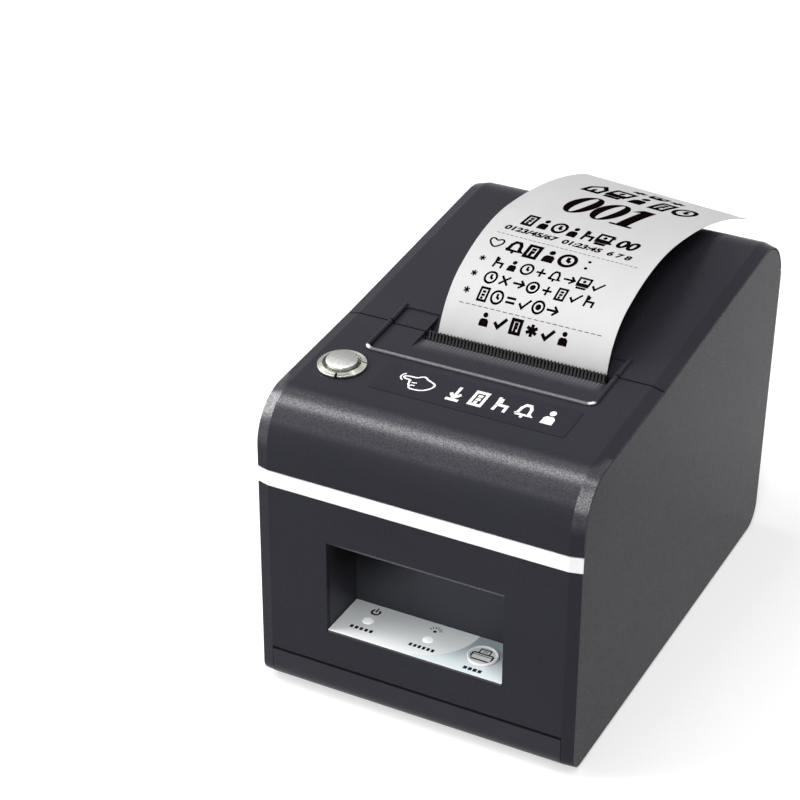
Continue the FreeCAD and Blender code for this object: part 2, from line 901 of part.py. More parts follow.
def feed_switch():
    y = key_y()
    top = panel_board_top()
    half = tact_side / 2
    body = box(feed_x - half, feed_x + half, y - half, y + half, top, top + tact_height - 0.6)
    return body.fuse(rod(1.7, V(feed_x, y, top), UP, tact_height))


# ---- Take-a-number button -----------------------------------------------------------------


def button_spot(low, radius, height):
    return rod(radius, V(button_x, -button_ahead, low), UP, height)


def revolved(profile):
    """Turned part from (radius, height) corners, on the button's axis."""
    points = [V(button_x + r, -button_ahead, z) for r, z in profile]
    wire = Part.makePolygon(points + [points[0]])
    return Part.Face(wire).revolve(V(button_x, -button_ahead, 0), UP, 360)


def button_bezel():
    """Flanged metal body: a stepped flange over the cover and a threaded barrel under it."""
    bore = button_cap_radius + button_clearance
    outer = button_flange_radius
    top = gasket_thickness + button_flange_height
    profile = [
        (bore, top - button_groove),
        (button_lip_radius, top - button_groove),
        (button_lip_radius + button_lip_slope, top),
        (outer, gasket_thickness + button_flange_edge),
        (outer, gasket_thickness),
        (button_body_radius, gasket_thickness),
        (button_body_radius, -button_body_length),
        (button_stem_radius + button_clearance, -button_body_length),
        (button_stem_radius + button_clearance, -button_shelf()),
        (bore, -button_shelf()),
    ]
    return on_cover(revolved(profile))


def button_shelf():
    """Depth of the bezel's inner shoulder below the cover's skin."""
    return 3.4 + button_travel - gasket_thickness - button_flange_height


def button_cap():
    """Domed cap with a turned step, on the stem that works the switch."""
    rim = gasket_thickness + button_flange_height + button_cap_side
    low = -button_shelf() + button_travel + 0.1
    rise = button_cap_rise
    bow = (button_cap_radius**2 + rise**2) / (2 * rise)
    crown = Part.makeSphere(bow, V(button_x, -button_ahead, rim + rise - bow))
    cap = button_spot(low, button_cap_radius, rim + rise - low).common(crown)
    stem = button_spot(low - button_stem_length, button_stem_radius, button_stem_length + 0.2)
    return on_cover(cap.fuse(stem))


def button_gasket():
    outer = button_spot(0, button_flange_radius - 0.3, gasket_thickness)
    return on_cover(outer.cut(button_spot(-1, button_body_radius, gasket_thickness + 2)))


def button_nut():
    radius = nut_across_flats / math.sqrt(3)
    corners = []
    for i in range(6):
        angle = math.radians(60 * i)
        corners.append((button_x + radius * math.cos(angle), -button_ahead + radius * math.sin(angle)))
    top = -wall
    nut = slab(corners, 0, top_view(top - nut_thickness), UP * nut_thickness)
    return on_cover(nut.cut(button_spot(-far, button_body_radius, 2 * far)))


def button_switch():
    """Switch insert under the bezel, hollow for the stem, with two terminals."""
    top = -button_body_length
    body = button_spot(top - switch_length, switch_radius, switch_length)
    hollow = button_stem_length - button_body_length + button_shelf() + 1.5
    body = body.cut(button_spot(top - hollow, button_stem_radius + button_clearance, hollow + 1))
    for side in (-1, 1):
        x = button_x + side * 2.6
        foot = top - switch_length - terminal_length
        y = -button_ahead
        body = body.fuse(box(x - 0.4, x + 0.4, y - 1.2, y + 1.2, foot, foot + terminal_length))
    return on_cover(body)


def instruction_label():
    corners = rectangle(label_left, label_right, -label_front, -label_back)
    return on_cover(slab(corners, 1.0, top_view(0), UP * label_thickness))


# ---- Tear comb ----------------------------------------------------------------------------


def tear_comb():
    """Bar across the slot with a row of blunt ribs that cut the paper."""
    base = -recess_depth - ramp_drop - comb_foot
    foot = -recess_depth - ramp_drop - comb_sink
    tip = foot + tooth_height
    back = -comb_setback
    front = back - comb_thickness
    half = comb_teeth * comb_pitch / 2
    bar = box(paper_x - half, paper_x + half, front, back, base, foot)
    teeth = []
    wide, narrow = tooth_width / 2, tooth_tip / 2
    for i in range(comb_teeth):
        x = paper_x + (i - (comb_teeth - 1) / 2) * comb_pitch
        face = [(x - wide, foot), (x + wide, foot), (x + narrow, tip), (x - narrow, tip)]
        teeth.append(slab(face, 0, front_view(front), BACK * comb_thickness))
    rake = [(front - 1, foot), (front, foot), (back - tooth_tip, tip), (front - 1, tip)]
    ahead = across(rake, paper_x - half, paper_x + half)
    web = box(paper_x - half, paper_x + half, back - tooth_wall, back, foot, tip - tooth_bare)
    return on_cover(bar.fuse(teeth).cut(ahead).fuse(web).removeSplitter())


# ---- Paper --------------------------------------------------------------------------------


def nip_y():
    """Middle of the paper between head and platen."""
    return platen_y - platen_radius - paper_gap - paper_thickness / 2


def roll_centre():
    return bay_y, bay_height - bay_radius + roll_radius + 0.4


def web_start():
    """Point where the paper leaves the front of the roll on its way up to the nip."""
    y, z = roll_centre()
    target = (nip_y(), platen_z - platen_radius)
    away = math.hypot(target[0] - y, target[1] - z)
    toward = math.atan2(target[1] - z, target[0] - y)
    reach = roll_radius + paper_gap + paper_thickness / 2
    angle = toward + math.acos(reach / away)
    return y + reach * math.cos(angle), z + reach * math.sin(angle)


def tear_height():
    return seam_height - tear_depth


def exit_point(height):
    """Paper line above the nip at a height, leaning back."""
    rise = height - platen_z - nip_lead
    return nip_y() + rise * math.tan(math.radians(web_lean)), height


def paper_web():
    half = paper_width / 2
    nip = (nip_y(), platen_z - platen_radius)
    points = [web_start(), nip, exit_point(platen_z + nip_lead), exit_point(tear_height())]
    return ribbon(points, paper_thickness, paper_x - half, paper_x + half, 6.0)


def ticket_wire(side):
    """Cross-section of the ticket at its left (0) or right (1) edge: three arcs that open out."""
    x = paper_x + (side - 0.5) * paper_width
    y, z = exit_point(tear_height() + tear_gap)
    heading = lid_slope + math.radians(ticket_rises[side])
    front, back = [], []
    for radius, turn in zip(ticket_radii[side], ticket_turns[side]):
        steps = []
        for share in (0, 0.5, 1):
            angle = heading - math.radians(turn) * share
            dy = radius * (math.sin(heading) - math.sin(angle))
            dz = radius * (math.cos(angle) - math.cos(heading))
            steps.append((y + dy, z + dz, angle))
        for offset, rows in ((-paper_thickness / 2, front), (paper_thickness / 2, back)):
            rows.append([V(x, p + offset * math.sin(a), q - offset * math.cos(a)) for p, q, a in steps])
        y, z, heading = steps[2]
    edges = [Part.Arc(*row).toShape() for row in front]
    edges.append(Part.LineSegment(front[-1][2], back[-1][2]).toShape())
    edges += [Part.Arc(*row[::-1]).toShape() for row in back[::-1]]
    edges.append(Part.LineSegment(back[0][0], front[0][0]).toShape())
    return Part.Wire(edges)


def ticket():
    """Printed ticket that curls back over the lid, a little lower on its right edge."""
    return Part.makeLoft([ticket_wire(0), ticket_wire(1)], True, True)


def paper_roll():
    y, z = roll_centre()
    start = V(paper_x - roll_width / 2, y, z)
    return ring(roll_radius, core_radius, start, RIGHT, roll_width)


def roll_core():
    y, z = roll_centre()
    start = V(paper_x - roll_width / 2, y, z)
    return ring(core_radius, core_bore, start, RIGHT, roll_width)


def paper_bay():
    """Deck under the lid with the trough that the roll drops into."""
    inner = bay_width / 2
    outer = inner + bay_wall
    top = deck_height
    y0, y1 = bay_y - bay_radius, bay_y + bay_radius
    deck_back = hinge_y - horn_radius - 1
    reach = inner_half_width - 0.2
    deck = box(-reach, reach, deck_y(), deck_back, top - deck_thickness, top)
    drum = rod(bay_radius + bay_wall, V(paper_x - outer, bay_y, bay_height), RIGHT, 2 * outer)
    drum = drum.common(box(-far, far, -far, far, -far, bay_height))
    shaft = box(paper_x - outer, paper_x + outer, y0 - bay_wall, y1 + bay_wall, bay_height, top)
    bay = deck.fuse([drum, shaft])
    hollow = rod(bay_radius, V(paper_x - inner, bay_y, bay_height), RIGHT, 2 * inner)
    hollow = hollow.fuse(box(paper_x - inner, paper_x + inner, y0, y1, bay_height, top + 1))
    angle = math.atan2(web_start()[1] - platen_z, web_start()[0] - nip_y())
    back, low = y0 + mouth_inset, bay_height - mouth_drop
    mouth = [
        (back, low),
        (back - mouth_reach, low - mouth_reach * math.tan(angle) * mouth_slope),
        (deck_y() - mouth_lead, top + 2),
        (back, top + 2),
    ]
    front_gap = across(mouth, paper_x - inner, paper_x + inner)
    return bay.cut(hollow.fuse(front_gap)).removeSplitter()


# ---- Print mechanism ----------------------------------------------------------------------


def frame_sides():
    """Inner faces of the two side plates of the mechanism frame."""
    return paper_x - frame_half_span, paper_x + frame_half_span


def mechanism_frame():
    """Bent sheet frame: floor, two side plates with open bearing notches, and the spring wall."""
    left, right = frame_sides()
    front = platen_y - frame_front
    back = platen_y + frame_back
    low = platen_z - frame_bottom
    top = platen_z + frame_top
    corners = [
        (front, low),
        (back, low),
        (back, platen_z + 1),
        (back - 3, top),
        (platen_y - spring_wall_ahead - sheet, top),
        (front, platen_z - 4),
    ]
    radii = [1, 1, 0.5, 1, 3, 4]
    plates = [across(corners, x, x + sheet, radii) for x in (left - sheet, right)]
    floor = box(left, right, front + 1, back - 2, low, low + sheet)
    wall_y = platen_y - spring_wall_ahead
    spring_wall = box(left, right, wall_y - sheet, wall_y, low, top)
    frame = plates[0].fuse([plates[1], floor, spring_wall])
    frame = frame.cut(bearing_notch()).cut(cable_slot())
    pin = head_pin_place()
    frame = frame.cut(rod(head_pin_radius, V(left - 9, *pin), RIGHT, far))
    shaft = V(right - 1, *motor_place())
    frame = frame.cut(rod(motor_shaft_radius + 0.6, shaft, RIGHT, 9))
    frame = frame.cut(rod(idler_pin_radius, V(right - 1, *idler_place()), RIGHT, 9))
    edge = inner_half_width - 0.2
    for y0, y1 in mount_tabs():
        frame = frame.fuse(box(-edge, left, y0, y1, low, low + sheet))
        frame = frame.fuse(box(right, edge, y0, y1, low, low + sheet))
    for x, y in mount_screw_places():
        frame = frame.cut(rod(screw_radius + 0.15, V(x, y, low - 1), UP, sheet + 2))
    x0, x1 = motor_cable_x()
    y = motor_place()[0]
    frame = frame.cut(box(x0 - 1, x1 + 1, y - 1.6, y + 1.6, low - 1, low + sheet + 1))
    return frame.removeSplitter()


def mount_screws():
    z = platen_z - frame_bottom + sheet
    length = mount_screw_length - 0.5
    return Part.makeCompound([pan_screw(x, y, z, UP * -1, 1.4, length) for x, y in mount_screw_places()])


def motor_cable_x():
    x0 = frame_sides()[1] - motor_length + 1
    return x0, x0 + 5


def bearing_notch():
    """Slots in the side plates, open the way the platen swings out with the lid."""
    away = V(0, hinge_height - platen_z, hinge_y - platen_y).normalize()
    left, right = frame_sides()
    x0, x1 = left - 5, right + 5
    half = bush_radius + seam_gap
    centre = V(0, platen_y, platen_z)
    across_way = V(0, away.z, -away.y)
    points = [
        centre + across_way * half,
        centre + across_way * half + away * 30,
        centre - across_way * half + away * 30,
        centre - across_way * half,
    ]
    notch = across([(p.y, p.z) for p in points], x0, x1)
    return notch.fuse(rod(half, V(x0, platen_y, platen_z), RIGHT, x1 - x0))


def cable_slot():
    x, y = head_cable_x0(), head_cable_y()
    return box(x - 1, x + 21, y - 1.2, y + 1.2, -far, platen_z - frame_bottom + 5)


def head_pin_place():
    return platen_y - head_pin_ahead, platen_z - head_pin_drop


def head_face_y():
    return nip_y() - paper_thickness / 2 - paper_gap


def thermal_head():
    """Ceramic plate with the raised heater line across it."""
    half = heatsink_half_width - 1
    y = head_face_y()
    z = platen_z - head_height * 0.6
    plate = box(paper_x - half, paper_x + half, y - head_thickness, y - 0.12, z, z + head_height)
    line = box(paper_x - half, paper_x + half, y - 0.3, y, platen_z - 0.6, platen_z + 0.6)
    return plate.fuse(line)


def heatsink_back():
    return head_face_y() - head_thickness


def head_heatsink():
    """Aluminium block behind the head, hung on its pin by a knuckle."""
    half = heatsink_half_width
    back = heatsink_back()
    front = back - heatsink_thickness
    low = platen_z - heatsink_height * 0.62
    y, z = head_pin_place()
    block = box(paper_x - half, paper_x + half, front, back, low, low + heatsink_height)
    side = [(y, z - 1.6), (back, low), (back, low + 4), (y, z + 2)]
    arm = across(side, paper_x - half, paper_x + half)
    knuckle = rod(knuckle_radius, V(paper_x - half, y, z), RIGHT, 2 * half)
    heatsink = block.fuse([arm, knuckle])
    return heatsink.cut(rod(head_pin_radius + running_gap, V(-far, y, z), RIGHT, 2 * far))


def head_pin():
    left, right = frame_sides()
    y, z = head_pin_place()
    pin = rod(head_pin_radius, V(left - sheet - 0.4, y, z), RIGHT, right - left + 2 * sheet + 0.8)
    return pin.fuse(rod(head_pin_radius + 0.8, V(left - sheet - 0.4 - pin_head, y, z), RIGHT, pin_head))


def spring_coil(x):
    """Coil between the spring wall and the heatsink, lofted through square sections of its wire."""
    start = platen_y - spring_wall_ahead + spring_wire / 2
    end = heatsink_back() - heatsink_thickness - spring_wire / 2
    steps = spring_turns * spring_steps
    inner, outer = spring_coil_radius - spring_wire / 2, spring_coil_radius + spring_wire / 2
    sections = []
    for i in range(steps + 1):
        angle = 2 * math.pi * i / spring_steps
        out = V(math.cos(angle), 0, math.sin(angle))
        centre = V(x, start + (end - start) * i / steps, platen_z)
        half = BACK * (spring_wire / 2)
        corners = [out * inner - half, out * outer - half, out * outer + half, out * inner + half]
        corners = [centre + c for c in corners]
        sections.append(Part.makePolygon(corners + corners[:1]))
    return Part.makeLoft(sections, True, True)


def head_springs():
    return Part.makeCompound([spring_coil(paper_x + side * spring_spread) for side in (-1, 1)])


def head_cable_x0():
    return paper_x - 10


def head_cable_y():
    return head_pin_place()[0] + knuckle_radius + 1.2


def head_flex_cable():
    """Flat cable from under the head down to the main board."""
    y = head_cable_y()
    top = platen_z - heatsink_height * 0.62 - 2.0
    low = board_height + board_thickness + 3.0
    return box(head_cable_x0(), head_cable_x0() + 20, y - 0.15, y + 0.15, low, top)


def paper_guide():
    """Sloping guide that leads the paper from the roll up to the nip."""
    left, right = frame_sides()
    start, nip = web_start(), (nip_y(), platen_z - platen_radius)
    way = unit(start, nip)
    low = platen_z - frame_bottom + sheet
    high = nip[1] - 4.5

    def line(z, off):
        run = (z - start[1]) / way[1]
        return start[0] + way[0] * run - off / way[1], z

    corners = [line(low, 0.7), line(high, 0.7), line(high, 2.7), line(low, 2.7)]
    guide = across(corners, left, right)
    hole = box(paper_x - 4, paper_x + 4, -far, far, platen_z - 18, platen_z - 14)
    return guide.cut(hole)


def paper_sensor():
    start, nip = web_start(), (nip_y(), platen_z - platen_radius)
    way = unit(start, nip)
    z0, z1 = platen_z - 18, platen_z - 14

    def line(z, off):
        run = (z - start[1]) / way[1]
        return start[0] + way[0] * run - off / way[1], z

    corners = [line(z0, 1.0), line(z1, 1.0), line(z1, 4.4), line(z0, 4.4)]
    return across(corners, paper_x - 4, paper_x + 4)


def gear(teeth, place, x0, bore, turn):
    """Spur gear with straight-sided teeth, rounded off to the pitch circle."""
    y, z = place
    pitch_radius = gear_module * teeth / 2
    tip = pitch_radius + gear_module - gear_clearance / 2
    root = pitch_radius - 1.2 * gear_module
    backlash = gear_clearance / pitch_radius / 2
    quarter = math.pi / (2 * teeth)
    corners = []
    for i in range(teeth):
        middle = turn + 2 * math.pi * i / teeth
        for radius, half in ((root, 1.65), (pitch_radius, 1.0), (tip, 0.45)):
            corners.append((radius, middle - quarter * half + (backlash if half <= 1 else 0)))
        for radius, half in ((tip, 0.45), (pitch_radius, 1.0), (root, 1.65)):
            corners.append((radius, middle + quarter * half - (backlash if half <= 1 else 0)))
    points = [(y + r * math.cos(a), z + r * math.sin(a)) for r, a in corners]
    body = across(points, x0, x0 + gear_width)
    return body.cut(rod(bore, V(x0 - 1, y, z), RIGHT, gear_width + 2))


def polar(centre, radius, degrees):
    angle = math.radians(degrees)
    return centre[0] + radius * math.cos(angle), centre[1] + radius * math.sin(angle)


def idler_place():
    return polar((platen_y, platen_z), gear_module * (platen_teeth + idler_teeth) / 2, idler_angle)


def motor_place():
    return polar(idler_place(), gear_module * (idler_teeth + pinion_teeth) / 2, motor_angle)


def gears_x():
    return frame_sides()[1] + sheet + gear_standoff


def platen_gear():
    facing = math.radians(idler_angle)
    return gear(platen_teeth, (platen_y, platen_z), gears_x(), shaft_radius, facing)


def idler_turn():
    """Turn that puts a gap of the idler on the line to the platen gear."""
    return math.radians(idler_angle + 180) + math.pi / idler_teeth


def idler_gear():
    return gear(idler_teeth, idler_place(), gears_x(), idler_pin_radius + running_gap, idler_turn())


def motor_pinion():
    """Pinion and motor shaft in one, with a tooth in the idler's gap."""
    step = 2 * math.pi / idler_teeth
    facing = math.radians(motor_angle)
    phase = ((facing - idler_turn()) / step) % 1.0
    turn = facing + math.pi + (0.5 - phase) * 2 * math.pi / pinion_teeth * -1
    place = motor_place()
    wheel = gear(pinion_teeth, place, gears_x(), motor_shaft_radius, turn)
    start = V(frame_sides()[1] - 2, *place)
    length = gears_x() + gear_width + 0.6 - start.x
    return wheel.fuse(rod(motor_shaft_radius, start, RIGHT, length))


def stepper_motor():
    """Round can bolted to the inside of the right side plate."""
    right = frame_sides()[1]
    place = motor_place()
    can = rod(motor_radius, V(right - motor_length, *place), RIGHT, motor_length)
    can = can.makeChamfer(0.8, [e for e in can.Edges if e.BoundBox.XMax < right - motor_length + 0.1])
    return can.cut(rod(motor_shaft_radius + running_gap, V(right - 2.6, *place), RIGHT, 9))


def idler_pin():
    start = V(frame_sides()[1], *idler_place())
    length = gears_x() + gear_width - frame_sides()[1] + 0.3
    pin = rod(idler_pin_radius, start, RIGHT, length)
    return pin.fuse(rod(idler_pin_radius + 0.9, start + RIGHT * length, RIGHT, pin_head))


def platen_shaft():
    left = frame_sides()[0]
    start = V(left - sheet - 1.6, platen_y, platen_z)
    return rod(shaft_radius, start, RIGHT, gears_x() + gear_width + 0.8 - start.x)


def platen_rubber():
    start = V(paper_x - paper_width / 2, platen_y, platen_z)
    return ring(platen_radius, shaft_radius, start, RIGHT, paper_width)


def platen_bushes():
    """Flanged bushes that carry the shaft in the lid's bracket and seat in the frame's notches."""
    made = []
    for side in (-1, 1):
        inner = V(paper_x + side * (arm_half_span - 0.6), platen_y, platen_z)
        axis = RIGHT * side
        length = frame_half_span + sheet + 0.3 - (arm_half_span - 0.6)
        flange = rod(bush_flange_radius, inner, axis, 0.6)
        body = rod(bush_radius, inner, axis, length)
        bore = rod(shaft_radius + running_gap, inner - axis, axis, length + 2)
        made.append(flange.fuse(body).cut(bore))
    return Part.makeCompound(made)


def platen_bracket():
    """Bent sheet under the lid: a plate screwed to it and two arms that hold the platen."""
    arms = []
    under = -wall / math.cos(lid_slope)
    plate_front, plate_back = seam_y + recess_back + recess_skin + 1.5, seam_y + 34.0
    corners = [
        (platen_y - 5.4, platen_z - 5.2),
        (platen_y + 5.2, platen_z - 5.2),
        (platen_y + 9, platen_z + 3),
        (plate_back, lid_z(plate_back) + under - 3.0),
        (plate_back, lid_z(plate_back) + under),
        (plate_front, lid_z(plate_front) + under),
        (plate_front - 2, platen_z + 8),
        (platen_y - 2, platen_z + 7.4),
        (platen_y - 5.4, platen_z + 4),
    ]
    for x in (paper_x - arm_half_span - sheet, paper_x + arm_half_span):
        arms.append(across(corners, x, x + sheet))
    plate = [
        (plate_front, lid_z(plate_front) + under),
        (plate_back, lid_z(plate_back) + under),
        (plate_back, lid_z(plate_back) + under - sheet),
        (plate_front, lid_z(plate_front) + under - sheet),
    ]
    top = across(plate, paper_x - arm_half_span, paper_x + arm_half_span)
    bracket = arms[0].fuse([arms[1], top])
    for x, y in bracket_screw_places():
        bracket = bracket.cut(rod(screw_radius, V(x, y, 0), UP, far))
    return bracket.cut(rod(bush_radius, V(-far, platen_y, platen_z), RIGHT, 2 * far)).removeSplitter()


def bracket_screw_places():
    y = seam_y + 26.0
    return [(paper_x + side * bracket_screw_spread, y) for side in (-1, 1)]


def bracket_screws():
    made = []
    for x, y in bracket_screw_places():
        seat = lid_z(y) - wall / math.cos(lid_slope) - sheet - 0.3
        made.append(pan_screw(x, y, seat, UP, 1.4, sheet))
    return Part.makeCompound(made)


# ---- Lid hinge ----------------------------------------------------------------------------


def hinge_pins():
    made = []
    for side in (-1, 1):
        start = V(side * (inner_half_width - hinge_boss_length + 1), hinge_y, hinge_height)
        inner = rod(hinge_pin_radius, start, RIGHT * -side, hinge_pin_length)
        outer = rod(hinge_pin_radius, start, RIGHT * side, hinge_boss_length - 1 + wall / 2 - 0.2)
        made.append(inner.fuse(outer))
    return Part.makeCompound(made)


# ---- Electronics --------------------------------------------------------------------------


def board_back():
    return back_y(board_height) - wall - 1.0


def standoff_places():
    front = board_front + 6
    back = board_back() - 30
    return [(side * standoff_spread, y) for side in (-1, 1) for y in (front, back)]


def main_board():
    board = box(
        -board_half_width,
        board_half_width,
        board_front,
        board_back(),
        board_height,
        board_height + board_thickness,
    )
    for x, y in standoff_places():
        board = board.cut(rod(screw_radius + 0.1, V(x, y, 0), UP, far))
    return board


def board_screws():
    z = board_height + board_thickness
    made = [pan_screw(x, y, z, UP * -1, 1.4, 7.0) for x, y in standoff_places()]
    return Part.makeCompound(made)


def board_components():
    """Processor, driver, capacitors and the cable sockets, each standing on the board."""
    z = board_height + board_thickness
    width, depth, height = head_socket
    chips = [chip(paper_x, head_cable_y() - board_front, width, depth, height)]
    chips += [chip(*place) for place in (processor, driver, panel_socket)]
    front = board_front + cable_socket_front
    for x0, x1 in (button_cable_x(), motor_cable_x()):
        chips.append(box(x0, x1, front, front + cable_socket_depth, z, z + cable_socket_height))
    for x, behind, r, h in capacitors:
        can = rod(r, V(x, board_front + behind, z), UP, h)
        chips.append(can.makeChamfer(0.4, [e for e in can.Edges if e.BoundBox.ZMin > z + h - 0.1]))
    return Part.makeCompound(chips)


def chip(x, behind, width, depth, height):
    """Block on the board, placed by its middle."""
    y = board_front + behind
    z = board_height + board_thickness
    return box(x - width / 2, x + width / 2, y - depth / 2, y + depth / 2, z, z + height)


def dc_jack():
    body = socket_box(dc_x, dc_size)
    face = body.BoundBox.YMax
    z = body.BoundBox.ZMin + dc_size[2] / 2
    body = body.cut(rod(dc_bore, V(dc_x, face - dc_bore_depth, z), BACK, far))
    return body.fuse(rod(dc_pin, V(dc_x, face - dc_bore_depth - 0.5, z), BACK, dc_bore_depth - 0.5))


def usb_port():
    body = socket_box(usb_x, usb_size)
    face = body.BoundBox.YMax
    low = body.BoundBox.ZMin
    corners = [
        (usb_x - 4.2, low + 1.6),
        (usb_x + 4.2, low + 1.6),
        (usb_x + 4.2, low + 7.4),
        (usb_x + 2.6, low + 9.4),
        (usb_x - 2.6, low + 9.4),
        (usb_x - 4.2, low + 7.4),
    ]
    body = body.cut(slab(corners, 0, front_view(face - 10), BACK * 20))
    tongue = box(usb_x - 2.8, usb_x + 2.8, face - 10.5, face - 1.5, low + 3.9, low + 7.1)
    return body.fuse(tongue)


def drawer_port():
    body = socket_box(drawer_x, drawer_size)
    face = body.BoundBox.YMax
    low = body.BoundBox.ZMin
    mouth = box(drawer_x - 4.9, drawer_x + 4.9, face - 12, face + 9, low + 1.6, low + 8.6)
    latch = box(drawer_x - 3.2, drawer_x + 3.2, face - 12, face + 9, low + 8.5, low + 10.4)
    neck = box(drawer_x - 1.6, drawer_x + 1.6, face - 12, face + 9, low + 10.3, low + 11.8)
    return body.cut(mouth.fuse([latch, neck]))


def rocker_axis():
    """Pivot line of the rocker, just inside the back skin."""
    return back_y(switch_height) - 2.0, switch_height


def rocker_block(gap):
    half_x = rocker_width / 2 + gap
    half_z = rocker_length / 2 + gap
    return switch_x - half_x, switch_x + half_x, switch_height - half_z, switch_height + half_z


def rocker_hole():
    x0, x1, z0, z1 = rocker_block(1.3)
    return box(x0, x1, back_y(z0) - wall - 3, far, z0, z1)


def rocker_case():
    """Snap-in frame of the power switch: a thin bezel outside and an open box inside."""
    x0, x1, z0, z1 = rocker_block(1.2)
    face = back_y(switch_height)
    lean = math.degrees(math.atan2(back_lean, back_height - case_lift))
    body = box(x0, x1, face - rocker_depth - 4, face + 0.6, z0, z1)
    edge = rocker_bezel - 1.2
    bezel = box(x0 - edge, x1 + edge, face + 0.15, face + 1.4, z0 - edge, z1 + edge)
    a0, a1, b0, b1 = rocker_block(0)
    space = box(a0 - rocker_gap, a1 + rocker_gap, face - 9, far, b0 - rocker_gap, b1 + rocker_gap)
    switch = body.fuse(bezel).cut(space)
    tabs = []
    for z in (switch_height - 5, switch_height + 5):
        back = face - rocker_depth - 4
        tabs.append(box(switch_x - 2.4, switch_x + 2.4, back - 6, back, z - 0.4, z + 0.4))
    switch = switch.fuse(tabs)
    switch = switch.fuse(rod(1.1, V(x0 + 0.2, *rocker_axis()), RIGHT, x1 - x0 - 0.4).cut(
        box(a0 - rocker_gap, a1 + rocker_gap, 0, far, 0, far)))
    pivot = rod(1.1, V(a0 - rocker_gap, *rocker_axis()), RIGHT, a1 - a0 + 2 * rocker_gap)
    switch = switch.fuse(pivot)
    switch.rotate(V(0, face, switch_height), RIGHT, -lean)
    return switch


def power_rocker():
    """Rocker with two wings, drawn tipped to its off side."""
    x0, x1, z0, z1 = rocker_block(0)
    face = back_y(switch_height)
    lean = math.degrees(math.atan2(back_lean, back_height - case_lift))
    y, z = rocker_axis()
    crest = 2.6
    drop = math.tan(math.radians(rocker_tilt)) * rocker_length / 2
    corners = [
        (face - 6, switch_height - 3),
        (face - 2.2, z0 + 0.6),
        (face + crest, z0 + 0.6),
        (face + crest - drop, switch_height),
        (face + crest, z1 - 0.6),
        (face - 2.2, z1 - 0.6),
        (face - 6, switch_height + 3),
    ]
    body = across(corners, x0, x1).cut(rod(1.1 + running_gap, V(x0 - 1, y, z), RIGHT, x1 - x0 + 2))
    body.rotate(V(0, y, z), RIGHT, -rocker_tilt)
    body.rotate(V(0, face, switch_height), RIGHT, -lean)
    return body


# ---- Cables held inside -------------------------------------------------------------------


def panel_cable():
    """Flat cable from the key board back to the main board."""
    low = panel_board_top() + 0.4
    start = -front_reach + wall + window_depth - 4
    end = board_front + 8
    z_end = board_height + board_thickness + 4.0
    points = [(start, low), (start + 12, low), (end - 6, z_end), (end, z_end)]
    return ribbon(points, 0.8, -18.0, -6.0, 6.0)


def button_cable_x():
    return button_x - 1.5, button_x + 1.5


def falling_cable(y, z, x_pair):
    """Cable that drops from a terminal and turns back to its socket on the board."""
    end = board_front + 9
    low = board_height + board_thickness + 4.8
    points = [(y, z), (y, low + 8), (end, low + 8), (end, low)]
    return ribbon(points, 0.9, *x_pair, 4.0)


def button_cable():
    ends = button_switch().BoundBox
    return falling_cable(ends.YMin + switch_radius + 1.4, ends.ZMin - 0.2, button_cable_x())


def motor_cable():
    y, z = motor_place()
    return falling_cable(y, z - motor_radius, motor_cable_x())


PARTS = [
    main_housing,
    window_pocket,
    rear_panel,
    top_front_cover,
    trim_stripe,
    paper_lid,
    base_tray,
    feet,
    base_screws,
    control_panel,
    feed_button,
    lamp_windows,
    panel_board,
    panel_lamps,
    feed_switch,
    button_bezel,
    button_cap,
    button_gasket,
    button_nut,
    button_switch,
    instruction_label,
    tear_comb,
    paper_web,
    ticket,
    paper_roll,
    roll_core,
    paper_bay,
    mechanism_frame,
    mount_screws,
    thermal_head,
    head_heatsink,
    head_pin,
    head_springs,
    head_flex_cable,
    paper_guide,
    paper_sensor,
    platen_gear,
    idler_gear,
    motor_pinion,
    stepper_motor,
    idler_pin,
    platen_shaft,
    platen_rubber,
    platen_bushes,
    platen_bracket,
    bracket_screws,
    hinge_pins,
    main_board,
    board_screws,
    board_components,
    dc_jack,
    usb_port,
    drawer_port,
    rocker_case,
    power_rocker,
    panel_cable,
    button_cable,
    motor_cable,
]

os.makedirs("parts", exist_ok=True)
for make in PARTS:
    shape = make()
    shape.exportStep("parts/" + make.__name__ + ".step")
    kind = "ok" if shape.isValid() else "INVALID"
    print(make.__name__, len(shape.Solids), round(shape.Volume, 1), kind)
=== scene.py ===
import math

import bmesh
import bpy
import numpy as np
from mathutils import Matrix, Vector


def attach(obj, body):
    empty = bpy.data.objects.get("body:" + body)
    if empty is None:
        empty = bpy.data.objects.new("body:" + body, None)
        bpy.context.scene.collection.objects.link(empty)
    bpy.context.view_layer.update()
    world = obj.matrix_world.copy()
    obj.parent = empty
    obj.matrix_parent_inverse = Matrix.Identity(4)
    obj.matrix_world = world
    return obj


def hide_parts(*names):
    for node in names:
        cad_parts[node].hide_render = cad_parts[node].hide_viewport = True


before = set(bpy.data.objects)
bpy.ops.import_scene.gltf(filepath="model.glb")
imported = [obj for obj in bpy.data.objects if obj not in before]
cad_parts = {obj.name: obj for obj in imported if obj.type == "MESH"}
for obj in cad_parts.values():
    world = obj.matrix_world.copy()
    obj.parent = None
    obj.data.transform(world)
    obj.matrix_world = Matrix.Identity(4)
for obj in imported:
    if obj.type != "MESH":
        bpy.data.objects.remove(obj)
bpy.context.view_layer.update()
print("frame loaded")

mm = 0.001
slope = math.atan2(4.0, 59.5)  # of the front cover
seam = (-22.1, 108.5)  # y and height of the seam between cover and lid
flatHalf = 51.0  # half width of the faces between the two sloped side bands
paperMiddle = 5.4  # x of the paper's middle

# The camera looks down at the front cover, from the front right.
view = {
    "place": (0.2611, -0.5910, 0.4519),
    "turn": (60.403, -0.238, 27.539),
    "lens": 102.18,
    "shift": (-0.0072, -0.0243),
}


